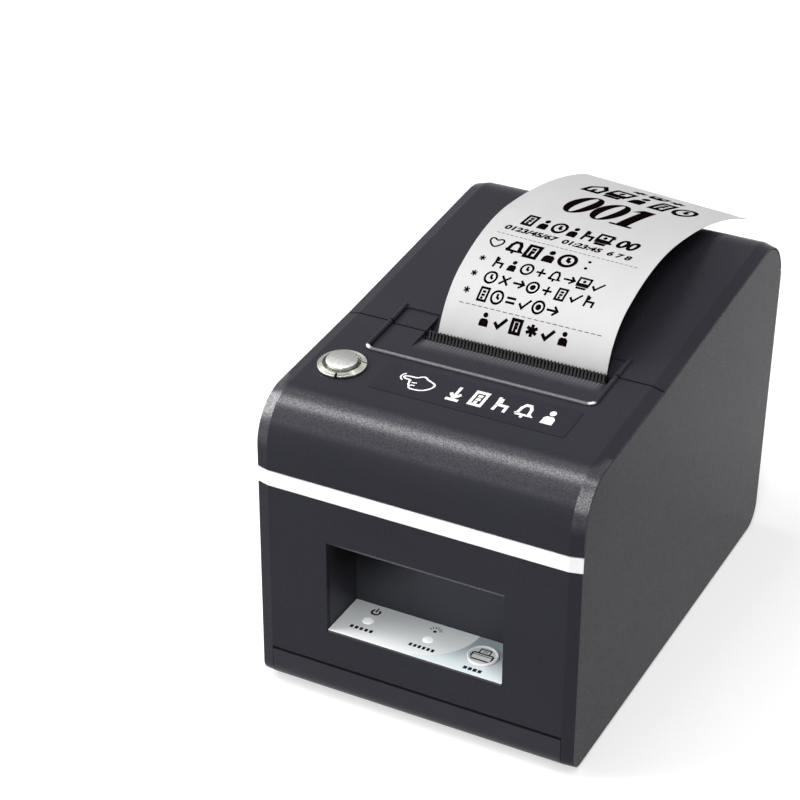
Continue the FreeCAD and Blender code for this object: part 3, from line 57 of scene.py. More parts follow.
def addObject(name, data):
    thing = bpy.data.objects.new(name, data)
    bpy.context.scene.collection.objects.link(thing)
    return thing


def placeCamera(view):
    data = bpy.data.cameras.new("camera")
    data.lens = view["lens"]
    data.sensor_width = 36
    data.shift_x, data.shift_y = view["shift"]
    data.clip_start = 0.05
    camera = addObject("camera", data)
    camera.location = view["place"]
    camera.rotation_euler = [math.radians(a) for a in view["turn"]]
    bpy.context.scene.camera = camera


placeCamera(view)
print("camera placed")


def joins(operation, flip=False):  # operator that adds one Math node; flip swaps its two inputs
    if flip:
        return lambda self, other: self.join(operation, other, self)
    return lambda self, other: self.join(operation, self, other)


class Value:  # a socket, with the arithmetic of the Math node
    def __init__(self, paint, socket):
        self.paint = paint
        self.socket = socket

    def join(self, operation, *parts):
        return self.paint.add("ShaderNodeMath", {"operation": operation}, dict(enumerate(parts)))

    __add__, __radd__ = joins("ADD"), joins("ADD", True)
    __sub__, __rsub__ = joins("SUBTRACT"), joins("SUBTRACT", True)
    __mul__, __rmul__ = joins("MULTIPLY"), joins("MULTIPLY", True)
    __truediv__, __pow__ = joins("DIVIDE"), joins("POWER")
    __lt__, __gt__ = joins("LESS_THAN"), joins("GREATER_THAN")
    most = joins("MAXIMUM")

    def size(self):
        return self.join("ABSOLUTE", self)

    def wave(self):
        return self.join("SINE", self)


class Paint:  # one material, its shader and the nodes that feed it
    def __init__(self, name, plain):
        self.material = bpy.data.materials.new(name)
        self.material.use_nodes = True
        self.tree = self.material.node_tree
        self.shader = self.tree.nodes["Principled BSDF"]
        for socket, value in plain.items():
            self.shader.inputs[socket].default_value = value

    def add(self, kind, settings=None, sockets=None, output=0):
        node = self.tree.nodes.new(kind)
        for name, value in (settings or {}).items():
            if name == "stops":
                self.setStops(node.color_ramp, value)
            else:
                setattr(node, name, value)
        for name, value in (sockets or {}).items():
            if isinstance(value, Value):
                self.tree.links.new(value.socket, node.inputs[name])
            else:
                node.inputs[name].default_value = value
        return Value(self, node.outputs[output])

    def setStops(self, ramp, stops):
        while len(ramp.elements) < len(stops):
            ramp.elements.new(1.0)
        for element, (place, colour) in zip(ramp.elements, stops):
            element.position = place
            element.color = (*colour, 1.0)

    def feed(self, socket, value):
        self.tree.links.new(value.socket, self.shader.inputs[socket])

    # Object coordinates in millimetres, measured from a centre and turned.
    def where(self, centre=(0, 0, 0), turn=(0, 0, 0), stretch=(1, 1, 1)):
        here = self.add("ShaderNodeTexCoord", output="Object")
        turns = [math.radians(a) for a in turn]
        sockets = {"Vector": here, "Location": [c * mm for c in centre], "Rotation": turns,
                   "Scale": [mm * s for s in stretch]}
        return self.add("ShaderNodeMapping", {"vector_type": "TEXTURE"}, sockets)

    def part(self, vector, axis):
        return self.add("ShaderNodeSeparateXYZ", None, {"Vector": vector}, "XYZ".index(axis))

    def noise(self, at, scale, detail=2.0, rough=0.5):
        sockets = {"Vector": at, "Scale": scale, "Detail": detail, "Roughness": rough}
        return self.add("ShaderNodeTexNoise", None, sockets)

    def cells(self, at, scale):
        return self.add("ShaderNodeTexVoronoi", None, {"Vector": at, "Scale": scale})

    def ease(self, value, low, high):  # 0 below low, 1 above high, smooth between
        sockets = {"Value": value, "From Min": low, "From Max": high}
        return self.add("ShaderNodeMapRange", {"interpolation_type": "SMOOTHSTEP"}, sockets)

    def reach(self, vector, centre=(0, 0, 0)):  # distance from a centre
        settings = {"operation": "DISTANCE"}
        return self.add("ShaderNodeVectorMath", settings, {0: vector, 1: centre}, "Value")

    def flatten(self, vector, keep):  # keep holds 1 for each axis that stays and 0 for the others
        return self.add("ShaderNodeVectorMath", {"operation": "MULTIPLY"}, {0: vector, 1: keep})

    def ramp(self, value, stops):
        return self.add("ShaderNodeValToRGB", {"stops": stops}, {"Fac": value})

    def blend(self, factor, first, second):
        colours = [c if isinstance(c, Value) else (*c, 1.0) for c in (first, second)]
        sockets = {0: factor, 6: colours[0], 7: colours[1]}
        return self.add("ShaderNodeMix", {"data_type": "RGBA"}, sockets, 2)

    def shades(self, factor, colour, first, second):  # from one share of a colour to another
        return self.blend(factor, scaled(colour, first), scaled(colour, second))

    def relief(self, height, depth, under=None):  # height 0 to 1, depth in millimetres
        sockets = {"Height": height, "Distance": depth * mm, "Strength": 1.0}
        if under:
            sockets["Normal"] = under
        return self.add("ShaderNodeBump", None, sockets)


def scaled(colour, share):
    return [min(1.0, c * share) for c in colour]


def plain(colour, rough, metallic=0.0, gloss=0.5):
    return {"Base Color": (*colour, 1.0), "Roughness": rough, "Metallic": metallic,
            "Specular IOR Level": gloss}


# Moulded plastic: spark-eroded grain of two sizes, tone that drifts a little, faint rubbed patches.
# A polish adds a clear coat, duller in small specks, and painted highlights. Seams add painted shade.
def grainedPlastic(name, look):
    colour, rough = look["tone"], look["rough"]
    p = Paint(name, plain(colour, rough, gloss=look["gloss"]))
    here = p.where()
    fine = p.noise(here, 1 / look["grain"], 1.0)
    coarse = p.cells(here, 0.7 / look["grain"])
    drift = p.noise(here, 0.03, 3.0)
    rubbed = p.ease(p.noise(here, 0.06), 0.5, 0.75)
    tone = p.blend(drift, scaled(colour, 0.9), [min(1.0, c * 1.12 + 0.001) for c in colour])
    p.feed("Roughness", rough + 0.06 * (fine - 0.5) - 0.015 * rubbed)
    p.feed("Normal", p.relief(0.7 * fine + 0.3 * coarse, look["depth"]))
    p.shader.inputs["Specular Tint"].default_value = sheen
    if "polish" in look:
        polish = look["polish"]
        p.shader.inputs["Coat Roughness"].default_value = polish["rough"]
        specks = p.ease(p.noise(here, polish["specks"], 1.0), 0.44, 0.6)
        p.feed("Coat Weight", polishedEdges(p, here, polish) * (1 - polish["dull"] * specks))
        tone = paintedHighlights(p, here, tone, look["wear"])
    if "seams" in look:
        tone = paintedSeamShade(p, here, tone, look["seams"])
    p.feed("Base Color", tone)
    return p.material


def overCover(along, height):  # height over the plane of the front cover
    return height - seam[1] - (along - seam[0]) * math.tan(slope)


# Painted shade along the two seams that show: the low one in front and the one across the top.
# Each is dark up to a first distance from the seam and gone at a second one.
def paintedSeamShade(p, here, tone, seams):
    across, along, height = p.part(here, "X"), p.part(here, "Y"), p.part(here, "Z")
    low = (1 - p.ease((height - seams["low"]).size(), *seams["lowSoft"])) * (along < seams["front"])
    low = low * (across.size() < flatHalf)
    cross = (1 - p.ease((along - seam[0]).size(), *seams["crossSoft"])) * (height > seams["over"])
    return p.blend(low.most(cross), tone, seams["tone"])


# Edges and the front curve are a little smoother than the flats. Their coat is full on the sloped
# bands beside the side walls, on the curve between two heights, and on the rim that stands over
# the cover's plane; its ends are soft.
def polishedEdges(p, here, polish):
    out, along, height = p.part(here, "X").size(), p.part(here, "Y"), p.part(here, "Z")
    band = (out > flatHalf) * p.ease(height, *polish["band"])
    front = band.most(p.ease(height, *polish["curve"])) * p.ease(height, *polish["top"])
    front = front * (out < polish["side"]) * (along < polish["back"])
    rim = p.ease(overCover(along, height), *polish["rim"]) * (along < polish["rimBack"])
    return front.most(rim)


# Painted highlights: the front bar of the rim is painted paler along its crest, most of all at its
# two corners. The ramp before the comb is painted paler towards it, in streaks as wide apart as the
# teeth, as their painted reflection, and so is the window's upper lip towards its right end.
def paintedHighlights(p, here, tone, wear):
    across, along, height = p.part(here, "X"), p.part(here, "Y"), p.part(here, "Z")
    rise = overCover(along, height)
    crest = p.ease(rise, *wear["crest"]) * (along < wear["crestBack"])
    tone = p.blend(crest, tone, wear["crestTone"])
    for corner in wear["corners"]:
        spot = p.ease(p.reach(here, corner), *wear["spot"]) * crest
        tone = p.blend(spot, tone, wear["spotTone"])
    start, end = wear["ramp"]
    near = p.ease(along, start, end) * (along < end + wear["rampPast"]) * (rise < wear["rampSunk"])
    teeth = 0.5 + 0.5 * (across * (2 * math.pi / wear["toothPitch"])).wave()
    streaks = 1 - near * teeth * wear["streaks"]
    inside = p.ease((across - paperMiddle).size(), *wear["rampHalf"])
    tone = p.blend(near * streaks * inside, tone, wear["rampTone"])
    (front, back), (low, high) = wear["lip"]
    lip = (along > front) * (along < back) * (height > low) * (height < high)
    lip = lip * (across.size() < wear["lipHalf"]) * p.ease(across, *wear["lipFade"])
    return p.blend(lip, tone, wear["lipTone"])


# Walls of the window: fine grain, with painted shade round one corner, from the distance to it.
def pocketWithPaintedShade(name, look):
    p = Paint(name, plain(look["tone"], look["rough"], gloss=0.1))
    here = p.where()
    fine = p.noise(here, 2.0, 2.0)
    clear = p.ease(p.reach(here, look["corner"]) + 3.0 * (p.noise(here, 0.1) - 0.5), *look["spread"])
    p.feed("Base Color", p.blend(clear, look["dark"], look["tone"]))
    p.feed("Roughness", look["rough"] + 0.06 * (fine - 0.5))
    p.feed("Normal", p.relief(fine, 0.03))
    return p.material


# Smooth plastic: hardly any relief, roughness that drifts, a few fine scuffs; it may have a painted
# glow.
def smoothPlastic(name, colour, rough, gloss=0.5, glow=0.0):
    p = Paint(name, plain(colour, rough, gloss=gloss))
    here = p.where()
    drift = p.noise(here, 0.08, 3.0)
    scuff = p.noise(p.where(turn=(0, 0, 35), stretch=(12, 0.6, 12)), 1.0, 3.0)
    p.feed("Base Color", p.shades(drift, colour, 0.96, 1.03))
    p.feed("Roughness", rough + 0.08 * p.ease(scuff, 0.55, 0.8) + 0.03 * drift)
    p.feed("Normal", p.relief(p.noise(here, 0.5, 2.0), 0.01))
    if glow:
        p.shader.inputs["Emission Color"].default_value = (*colour, 1.0)
        p.shader.inputs["Emission Strength"].default_value = glow
    return p.material


# Brushed or drawn metal: noise stretched along one direction moves tone, roughness and relief.
def brushedMetal(name, colour, rough, stretch):
    p = Paint(name, plain(colour, rough, metallic=1.0))
    lines = p.noise(p.where(stretch=stretch), 1.0, 4.0, 0.6)
    drift = p.noise(p.where(), 0.1, 2.0)
    p.feed("Base Color", p.shades(lines, colour, 0.82, 1.12))
    p.feed("Roughness", rough + 0.14 * (lines - 0.5) + 0.06 * drift)
    p.feed("Normal", p.relief(lines, 0.006))
    return p.material


# Flange cut on a lathe: painted glints change its tone with the angle, with fine rings and fine
# rays; the groove inside it and the narrow slots are painted dark, as shade.
def turnedFlange(name, look, centre, turn):
    rough, slotFrom = look["rough"], look["slotFrom"]
    p = Paint(name, plain((0.5, 0.5, 0.47), rough, metallic=1.0))
    here = p.where(centre, turn)
    far = p.reach(p.flatten(here, (1, 1, 0)))
    angle = here.join("ARCTAN2", p.part(here, "Y"), p.part(here, "X"))
    rings = p.noise(p.add("ShaderNodeCombineXYZ", None, {"X": far}), 6.0, 3.0, 0.7)
    rays = p.noise(p.add("ShaderNodeCombineXYZ", None, {"X": angle}), 9.0, 3.0, 0.7)
    speckle = p.noise(here, 2.2, 3.0, 0.6)
    fan = p.ramp(angle / (2 * math.pi) + 0.5, look["fan"])
    wear = p.ramp(0.3 * rings + 0.4 * rays + 0.3 * speckle, [(0.35, (0.7,) * 3), (0.65, (1.15,) * 3)])
    product = {"data_type": "RGBA", "blend_type": "MULTIPLY"}
    colour = p.add("ShaderNodeMix", product, {0: 1.0, 6: fan, 7: wear}, 2)
    colour = p.blend(p.ease(far, *look["groove"]), colour, look["grooveShade"])
    for place, half in look["slots"]:
        away = (angle - math.radians(place)).size()
        colour = p.blend((away < math.radians(half)) * (far > slotFrom), colour, look["slotTone"])
    p.feed("Base Color", colour)
    p.feed("Roughness", rough + 0.14 * (rings - 0.5) + 0.12 * (speckle - 0.5))
    p.feed("Normal", p.relief(0.6 * rings + 0.4 * speckle, 0.02))
    return p.material


# Cap of the button: pale at the front and greyer behind, as painted light, mottled by noise.
def blastedCapWithPaintedLight(name, look, centre, turn):
    p = Paint(name, plain((0.5, 0.5, 0.49), look["rough"], metallic=1.0))
    here = p.where(centre, turn)
    speckle = p.noise(here, 1.1, 4.0, 0.75)
    place = p.part(here, "Y") * look["rise"] + 0.5 + look["mottle"] * (speckle - 0.5)
    p.feed("Base Color", p.ramp(place, look["tones"]))
    p.feed("Roughness", look["rough"] + 0.2 * (speckle - 0.5))
    p.feed("Normal", p.relief(speckle, 0.03))
    return p.material


# Zinc-coated sheet: crystal cells, each brighter from its middle to its edge, with fine noise.
def spangledSteel(name, colour, rough):
    p = Paint(name, plain(colour, rough, metallic=1.0))
    here = p.where()
    cell = p.cells(here, 0.45)
    fine = p.noise(here, 3.0, 3.0)
    tone = 0.6 * cell + 0.4 * fine
    p.feed("Base Color", p.shades(tone, colour, 0.78, 1.15))
    p.feed("Roughness", rough + 0.18 * (tone - 0.5))
    p.feed("Normal", p.relief(fine, 0.006))
    return p.material


# Rubber: matt, with a soft mottled tone and fine pores.
def softRubber(name, colour, rough):
    p = Paint(name, plain(colour, rough, gloss=0.3))
    here = p.where()
    pores = p.ease(p.noise(here, 3.5, 2.0), 0.55, 0.75)
    p.feed("Base Color", p.shades(p.noise(here, 0.3, 3.0), colour, 0.8, 1.3))
    p.feed("Roughness", rough - 0.08 * pores)
    p.feed("Normal", p.relief(1 - pores, 0.03))
    return p.material


# Thermal paper: coated and nearly smooth, faint fibres and a slow cockle.
def thermalPaper(name, colour):
    p = Paint(name, plain(colour, 0.55, gloss=0.25))
    here = p.where()
    fibre = p.noise(here, 2.5, 4.0, 0.65)
    cockle = p.noise(p.where(stretch=(9, 16, 16)), 1.0, 1.0)
    p.feed("Base Color", p.shades(fibre, colour, 0.97, 1.0))
    p.feed("Roughness", 0.55 + 0.08 * (fibre - 0.5))
    p.feed("Normal", p.relief(cockle, 0.5, p.relief(fibre, 0.008)))
    return p.material


# Paper roll: plain outside. Its two ends show fine rings from the distance to the roll's axis, pale
# and a little uneven.
def rolledPaper(name, colour, centre, end):
    p = Paint(name, plain(colour, 0.7, gloss=0.2))
    here = p.where(centre)
    far = p.reach(p.flatten(here, (0, 1, 1)))
    layers = 0.5 + 0.5 * (far * 14.0).wave()
    uneven = p.noise(p.add("ShaderNodeCombineXYZ", None, {"X": far}), 1.1, 3.0)
    side = p.ease(p.part(here, "X").size(), *end)
    tone = side * (0.5 * layers + 0.5 * uneven)
    p.feed("Base Color", p.shades(tone, colour, 1.0, 0.72))
    p.feed("Roughness", 0.6 + 0.2 * side)
    p.feed("Normal", p.relief(tone, 0.05))
    return p.material


# Circuit board: green mask, lighter where copper tracks lie below it. They run one way in one zone and
# the other way in another, from sines that noise bends.
def boardMask(name, colour):
    p = Paint(name, plain(colour, 0.35))
    here = p.where()
    across, along = p.part(here, "X"), p.part(here, "Y")
    bend = p.noise(here, 0.06, 0.0)
    stripes = ((across + 40.0 * bend) * 2.6).wave() > 0.35
    rungs = ((along + 30.0 * bend) * 1.9).wave() > 0.6
    zone = p.noise(here, 0.09, 0.0)
    tracks = stripes * (zone > 0.52) + rungs * (zone < 0.46)
    p.feed("Base Color", p.blend(tracks, colour, [c * 1.9 + 0.01 for c in colour]))
    p.feed("Roughness", 0.32 + 0.1 * p.noise(here, 0.6))
    p.feed("Normal", p.relief(tracks, 0.03))
    return p.material


# Flat ribbon cable: one ridge for each wire, the root of a raised sine across the ribbon.
def ribbonCable(name, colour, pitch):
    p = Paint(name, plain(colour, 0.45))
    here = p.where()
    ridge = (0.5 + 0.5 * (p.part(here, "X") * (2 * math.pi / pitch)).wave()) ** 0.5
    # the tone is painted darker in the grooves between wires, as shade
    p.feed("Base Color", p.shades(ridge, colour, 0.55, 1.15))
    p.feed("Roughness", 0.5 - 0.12 * ridge)
    p.feed("Normal", p.relief(ridge, 0.2))
    return p.material


# Pressed paper tube: fibres along the winding, brown-grey flecks.
def pressedTube(name, colour):
    p = Paint(name, plain(colour, 0.85, gloss=0.2))
    fibre = p.noise(p.where(turn=(30, 0, 0), stretch=(4, 0.5, 0.5)), 1.0, 5.0, 0.7)
    p.feed("Base Color", p.shades(fibre, colour, 0.7, 1.15))
    p.feed("Roughness", 0.75 + 0.2 * fibre)
    p.feed("Normal", p.relief(fibre, 0.05))
    return p.material


foil = {
    "floor": 28.0,  # height of the plate's face
    "silver": (0.93, 0.99, 1.0), "white": (0.97, 1.0, 1.0), "rise": (-61.4, -76.5),
    "patch": -27.0, "patchSoft": (9.0, 1.0), "patchShare": 0.6,
    "sweep": (-5.0, -62.0), "radius": 18.9, "soft": 0.15,  # arc between the silver and the cool tone
    "cool": (0.40, 0.49, 0.53), "coolPale": (0.82, 0.92, 0.95), "coolRise": (-66.0, -79.0),
    "coolFrom": -1.0,
    "line": 0.45, "lineWidth": 0.9, "lineShare": 0.5,  # pale line just inside the arc
    "edge": (0.012, 0.011, 0.015),
}


# Printed silver foil: the tone rises from the plate's back to its front, with a paler patch at the
# back left; right of an arc it is blue grey, with a pale line along the arc. What lies below the face
# is dark. Fine brushing across moves roughness and relief.
def printedFoil(name, f):
    p = Paint(name, plain(f["white"], 0.34))
    here = p.where()
    across, along = p.part(here, "X"), p.part(here, "Y")
    rise = p.ease(along, *f["rise"])
    silver = p.blend(rise, f["silver"], f["white"])
    paler = p.ease((across - f["patch"]).size(), *f["patchSoft"]) * (1 - rise) * f["patchShare"]
    silver = p.blend(paler, silver, f["white"])
    cool = p.blend(p.ease(along, *f["coolRise"]), f["cool"], f["coolPale"])
    far = p.reach(p.flatten(here, (1, 1, 0)), (*f["sweep"], 0.0))
    beyond = p.ease(far, f["radius"] - f["soft"], f["radius"] + f["soft"]) * (across > f["coolFrom"])
    line = 1 - p.ease((far - f["radius"] + f["line"]).size(), 0.0, f["lineWidth"])
    colour = p.blend(beyond, p.blend(line * f["lineShare"], silver, f["white"]), cool)
    brushed = p.noise(p.where(stretch=(25, 0.2, 1)), 1.0, 3.0)
    p.feed("Base Color", p.blend(p.part(here, "Z") > f["floor"] - 0.1, f["edge"], colour))
    p.feed("Roughness", 0.3 + 0.1 * brushed)
    p.feed("Normal", p.relief(brushed, 0.004))
    return p.material


# Key: white ring inside the rim, silver dish that is paler towards the front.
def keyFinish(name, look, centre):
    p = Paint(name, plain((0.8, 0.8, 0.82), 0.35))
    here = p.where(centre)
    far = p.reach(p.flatten(here, (1, 1, 0)))
    dish = p.blend(p.ease(p.part(here, "Y"), *look["dishRise"]), *look["dish"])
    p.feed("Base Color", p.blend(p.ease(far, *look["ringFrom"]), dish, look["ring"]))
    p.feed("Roughness", 0.32 + 0.08 * p.noise(here, 1.5))
    p.feed("Normal", p.relief(p.noise(here, 1.2, 3.0), 0.01))
    return p.material


# Printed ink: solid, slightly starved where the paper's fibres stand up.
def printInk(name, colour, rough, starved):
    p = Paint(name, plain(colour, rough, gloss=0.0))
    grain = p.ease(p.noise(p.where(), 3.2, 4.0, 0.7), 0.52, 0.72)
    p.feed("Base Color", p.blend(grain, colour, [min(1.0, c + starved) for c in colour]))
    p.feed("Roughness", rough + 0.1 * grain)
    return p.material


button = {"x": -40.7, "ahead": 29.9}  # ahead of the seam, down the cover


# Point of the cover, from x, the distance ahead of the seam and the height over the skin.
def coverPoint(x, ahead, height):
    y = seam[0] - ahead * math.cos(slope) - height * math.sin(slope)
    z = seam[1] - ahead * math.sin(slope) + height * math.cos(slope)
    return np.stack(np.broadcast_arrays(x, y, z), -1)


buttonCentre = coverPoint(button["x"], button["ahead"], 0.0)
slopeTurn = (math.degrees(slope), 0, 0)

charcoal = (0.0262, 0.0256, 0.0335)
sheen = (0.86, 0.88, 1.0, 1.0)  # tint of what moulded plastic reflects
# painted shade beside the seams, widening the shade of their gaps
seamShadeLook = {"low": 14.35, "lowSoft": (0.38, 0.6), "front": -81.0, "crossSoft": (0.2, 0.5), "over": 104.0,
            "tone": (0.003, 0.003, 0.004)}
shellLook = {
    "tone": charcoal, "rough": 0.27, "grain": 0.5, "depth": 0.04, "gloss": 0.04, "seams": seamShadeLook,
    "polish": {
        "rough": 0.235, "specks": 2.3, "dull": 0.55,  # specks per millimetre, coat that they take away
        "band": (88.0, 95.0), "curve": (96.0, 101.0), "top": (105.4, 104.6),  # heights
        "side": 54.95, "back": -62.0, "rim": (0.15, 0.5), "rimBack": -38.0,
    },
    # painted highlights on the rim and the window's lip, and a painted reflection of the teeth on the
    # ramp
    "wear": {
        "crest": (0.3, 0.7), "crestBack": -38.6, "crestTone": (0.11, 0.11, 0.118),
        "corners": ((-38.6, -39.2, 108.1), (38.6, -39.2, 108.1)), "spot": (2.0, 0.7),
        "spotTone": (0.8, 0.8, 0.82),
        "ramp": (-31.8, -25.4), "rampPast": 0.8, "rampSunk": -0.62, "rampHalf": (31.6, 29.0),
        "rampTone": (0.125, 0.122, 0.134), "toothPitch": 1.2, "streaks": 0.8,
        "lip": ((-81.5, -78.8), (58.9, 62.0)), "lipHalf": 30.8, "lipFade": (-30.0, -18.0),
        "lipTone": (0.09, 0.09, 0.102),
    },
}
baseLook = {"tone": charcoal, "rough": 0.33, "grain": 0.5, "depth": 0.03, "gloss": 0.1,
            "seams": seamShadeLook}
mouldedBlack = {"tone": (0.018, 0.018, 0.02), "rough": 0.5, "grain": 0.5, "depth": 0.015, "gloss": 0.35}
# painted shade: dark at the window's upper left back corner, gone by the far end of the spread
pocketLook = {"tone": (0.043, 0.044, 0.054), "dark": (0.008, 0.008, 0.010), "rough": 0.35,
              "corner": (-27.5, -62.2, 58.0), "spread": (10.0, 27.0)}
rollLook = ((0.80, 0.80, 0.79), (paperMiddle, 40.0, 54.4), (28.4, 28.6))  # colour, centre, ends

# Each finish: the function that makes it, its values, and the nodes that wear it.
finishes = {
    "charcoalShell": (grainedPlastic, [shellLook],
                      ["main_housing", "rear_panel", "top_front_cover", "paper_lid"]),
    "pocketPlastic": (pocketWithPaintedShade, [pocketLook], ["window_pocket"]),
    "basePlastic": (grainedPlastic, [baseLook], ["base_tray", "paper_bay", "paper_guide", "button_nut"]),
    "whiteStripe": (smoothPlastic, [(0.93, 0.93, 0.93), 0.3], ["trim_stripe"]),
    "footRubber": (softRubber, [(0.02, 0.02, 0.02), 0.8], ["feet", "button_gasket"]),
    "platenRubber": (softRubber, [(0.035, 0.035, 0.037), 0.6], ["platen_rubber"]),
    "screwSteel": (brushedMetal, [(0.55, 0.55, 0.56), 0.32, (3, 3, 0.4)],
                   ["base_screws", "mount_screws", "bracket_screws", "board_screws"]),
    "pinSteel": (brushedMetal, [(0.6, 0.6, 0.61), 0.24, (0.3, 6, 6)],
                 ["hinge_pins", "head_pin", "idler_pin", "platen_shaft", "head_springs"]),
    "panelFoil": (printedFoil, [foil], ["control_panel"]),
    "boardGreen": (boardMask, [(0.012, 0.10, 0.04)], ["panel_board", "main_board"]),
    "componentBlack": (grainedPlastic, [mouldedBlack],
                       ["feed_switch", "board_components", "dc_jack", "drawer_port", "rocker_case",
                        "button_switch", "paper_sensor"]),
    "rockerBlack": (smoothPlastic, [(0.012, 0.012, 0.013), 0.28], ["power_rocker"]),
    "lampDie": (smoothPlastic, [(0.8, 0.82, 0.7), 0.3], ["panel_lamps"]),
    "labelFilm": (smoothPlastic, [(0.0205, 0.0195, 0.0280), 0.27, 0.06], ["instruction_label"]),
    "combBlack": (smoothPlastic, [(0.012, 0.012, 0.014), 0.33, 0.2], ["tear_comb"]),
    "paperWhite": (thermalPaper, [(0.80, 0.80, 0.80)], ["paper_web"]),
    "paperRoll": (rolledPaper, rollLook, ["paper_roll"]),
    "coreTube": (pressedTube, [(0.42, 0.37, 0.29)], ["roll_core"]),
    "frameSteel": (spangledSteel, [(0.55, 0.56, 0.57), 0.34], ["mechanism_frame", "platen_bracket"]),
    "motorCan": (brushedMetal, [(0.5, 0.5, 0.51), 0.33, (0.4, 8, 8)], ["stepper_motor", "usb_port"]),
    "headCeramic": (smoothPlastic, [(0.5, 0.42, 0.34), 0.2], ["thermal_head"]),
    "headAlloy": (brushedMetal, [(0.62, 0.63, 0.64), 0.38, (40, 0.3, 0.3)], ["head_heatsink"]),
    "gearWhite": (smoothPlastic, [(0.72, 0.72, 0.68), 0.38],
                  ["platen_gear", "idler_gear", "motor_pinion", "platen_bushes"]),
    "flexOrange": (ribbonCable, [(0.5, 0.22, 0.05), 1.0], ["head_flex_cable"]),
    "cableGrey": (ribbonCable, [(0.2, 0.2, 0.21), 1.27], ["panel_cable", "button_cable", "motor_cable"]),
}
for finish, (make, values, names) in finishes.items():
    material = make(finish, *values)
    for name in names:
        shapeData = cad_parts[name].data
        shapeData.materials.clear()
        shapeData.materials.append(material)
print("CAD nodes painted")


# Faces of a grid of points, row by row; either direction may close on itself.
def gridFaces(rows, columns, wrapRows=False, wrapColumns=False):
    i, j = np.meshgrid(np.arange(rows if wrapRows else rows - 1),
                       np.arange(columns if wrapColumns else columns - 1), indexing="ij")
    nextI, nextJ = (i + 1) % rows, (j + 1) % columns
    corners = [i * columns + j, i * columns + nextJ, nextI * columns + nextJ, nextI * columns + j]
    return np.stack(corners, -1).reshape(-1, 4)


# Gives a mesh its finish and makes it a piece of the object.
def settle(name, mesh, material, body):
    mesh.materials.append(material)
    piece = addObject(name, mesh)
    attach(piece, body)
    return piece


# Piece from points and faces: doubles merged, thin faces dissolved, normals turned outwards, smooth
# but for edges above an angle.
def newPiece(name, points, faces, material, body, sharp, replaced):
    mesh = bpy.data.meshes.new(name)
    mesh.from_pydata(np.asarray(points, float).reshape(-1, 3).tolist(), [], [list(f) for f in faces])
    shell = bmesh.new()
    shell.from_mesh(mesh)
    bmesh.ops.remove_doubles(shell, verts=shell.verts, dist=1e-6)
    bmesh.ops.dissolve_degenerate(shell, edges=shell.edges, dist=1e-7)
    bmesh.ops.recalc_face_normals(shell, faces=shell.faces)
    shell.to_mesh(mesh)
    shell.free()
    mesh.shade_smooth()
    mesh.set_sharp_from_angle(angle=math.radians(sharp))
    piece = settle(name, mesh, material, body)
    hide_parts(*replaced)


paper = {
    "half": 29.2, "thickness": 0.14,
    "start": (-19.0787, 106.0),  # y and height of the tear line
    # For the left and the right edge: degrees from upright at the tear line, then radius of each arc
    # and degrees that it turns.
    "leans": (17.2491, 11.5491),
    "radii": ((29.6, 69.8, 222.0), (22.5, 86.8, 223.0)),
    "turns": ((46.9, 30.1, 17.5), (58.0, 27.0, 19.5)),
    "tone": (0.55, 0.547, 0.548), "rows": 181, "columns": 31,
}


# Point and outward normal of one edge of the ticket: three arcs that follow one another. An arc
# starts where the last one ended, and its centre lies on its own normal, at its radius.
def edgePoint(side, arc, share):
    radii = np.array(paper["radii"][side])
    turns = np.radians(paper["turns"][side])
    headings = math.radians(90 - paper["leans"][side]) - np.concatenate([[0], np.cumsum(turns)])
    starts = [np.array(paper["start"])]
    for k, radius in enumerate(radii):
        a, b = headings[k], headings[k + 1]
        step = np.array([math.sin(a) - math.sin(b), math.cos(b) - math.cos(a)])
        starts.append(starts[-1] + radius * step)
    starts = np.array(starts)
    a = headings[arc]
    b = a - turns[arc] * share
    y = starts[arc, 0] + radii[arc] * (np.sin(a) - np.sin(b))
    z = starts[arc, 1] + radii[arc] * (np.cos(b) - np.cos(a))
    return y, z, -np.sin(b), np.cos(b)


def edgeMarks(side):  # distance along one edge at the start of each arc, and at its end
    lengths = np.array(paper["radii"][side]) * np.radians(paper["turns"][side])
    return np.concatenate([[0], np.cumsum(lengths)])


# Point of the ticket from the offset across it, the distance from the tear line and the lift
# over its middle: the two edges are joined by straight lines at equal shares of their arcs.
def ticketPoint(across, along, lift):
    across, along = np.broadcast_arrays(across, along)
    share = (across / paper["half"] + 1) / 2
    marks = edgeMarks(0) * (1 - share)[..., None] + edgeMarks(1) * share[..., None]
    arc = (along >= marks[..., 1]).astype(int) + (along >= marks[..., 2])
    low = np.take_along_axis(marks, arc[..., None], -1)[..., 0]
    high = np.take_along_axis(marks, arc[..., None] + 1, -1)[..., 0]
    part = np.clip((along - low) / (high - low), 0, 1)
    left, right = np.array(edgePoint(0, arc, part)), np.array(edgePoint(1, arc, part))
    y, z, ny, nz = left * (1 - share) + right * share
    return np.stack([paperMiddle + across, y + lift * ny, z + lift * nz], -1) * mm


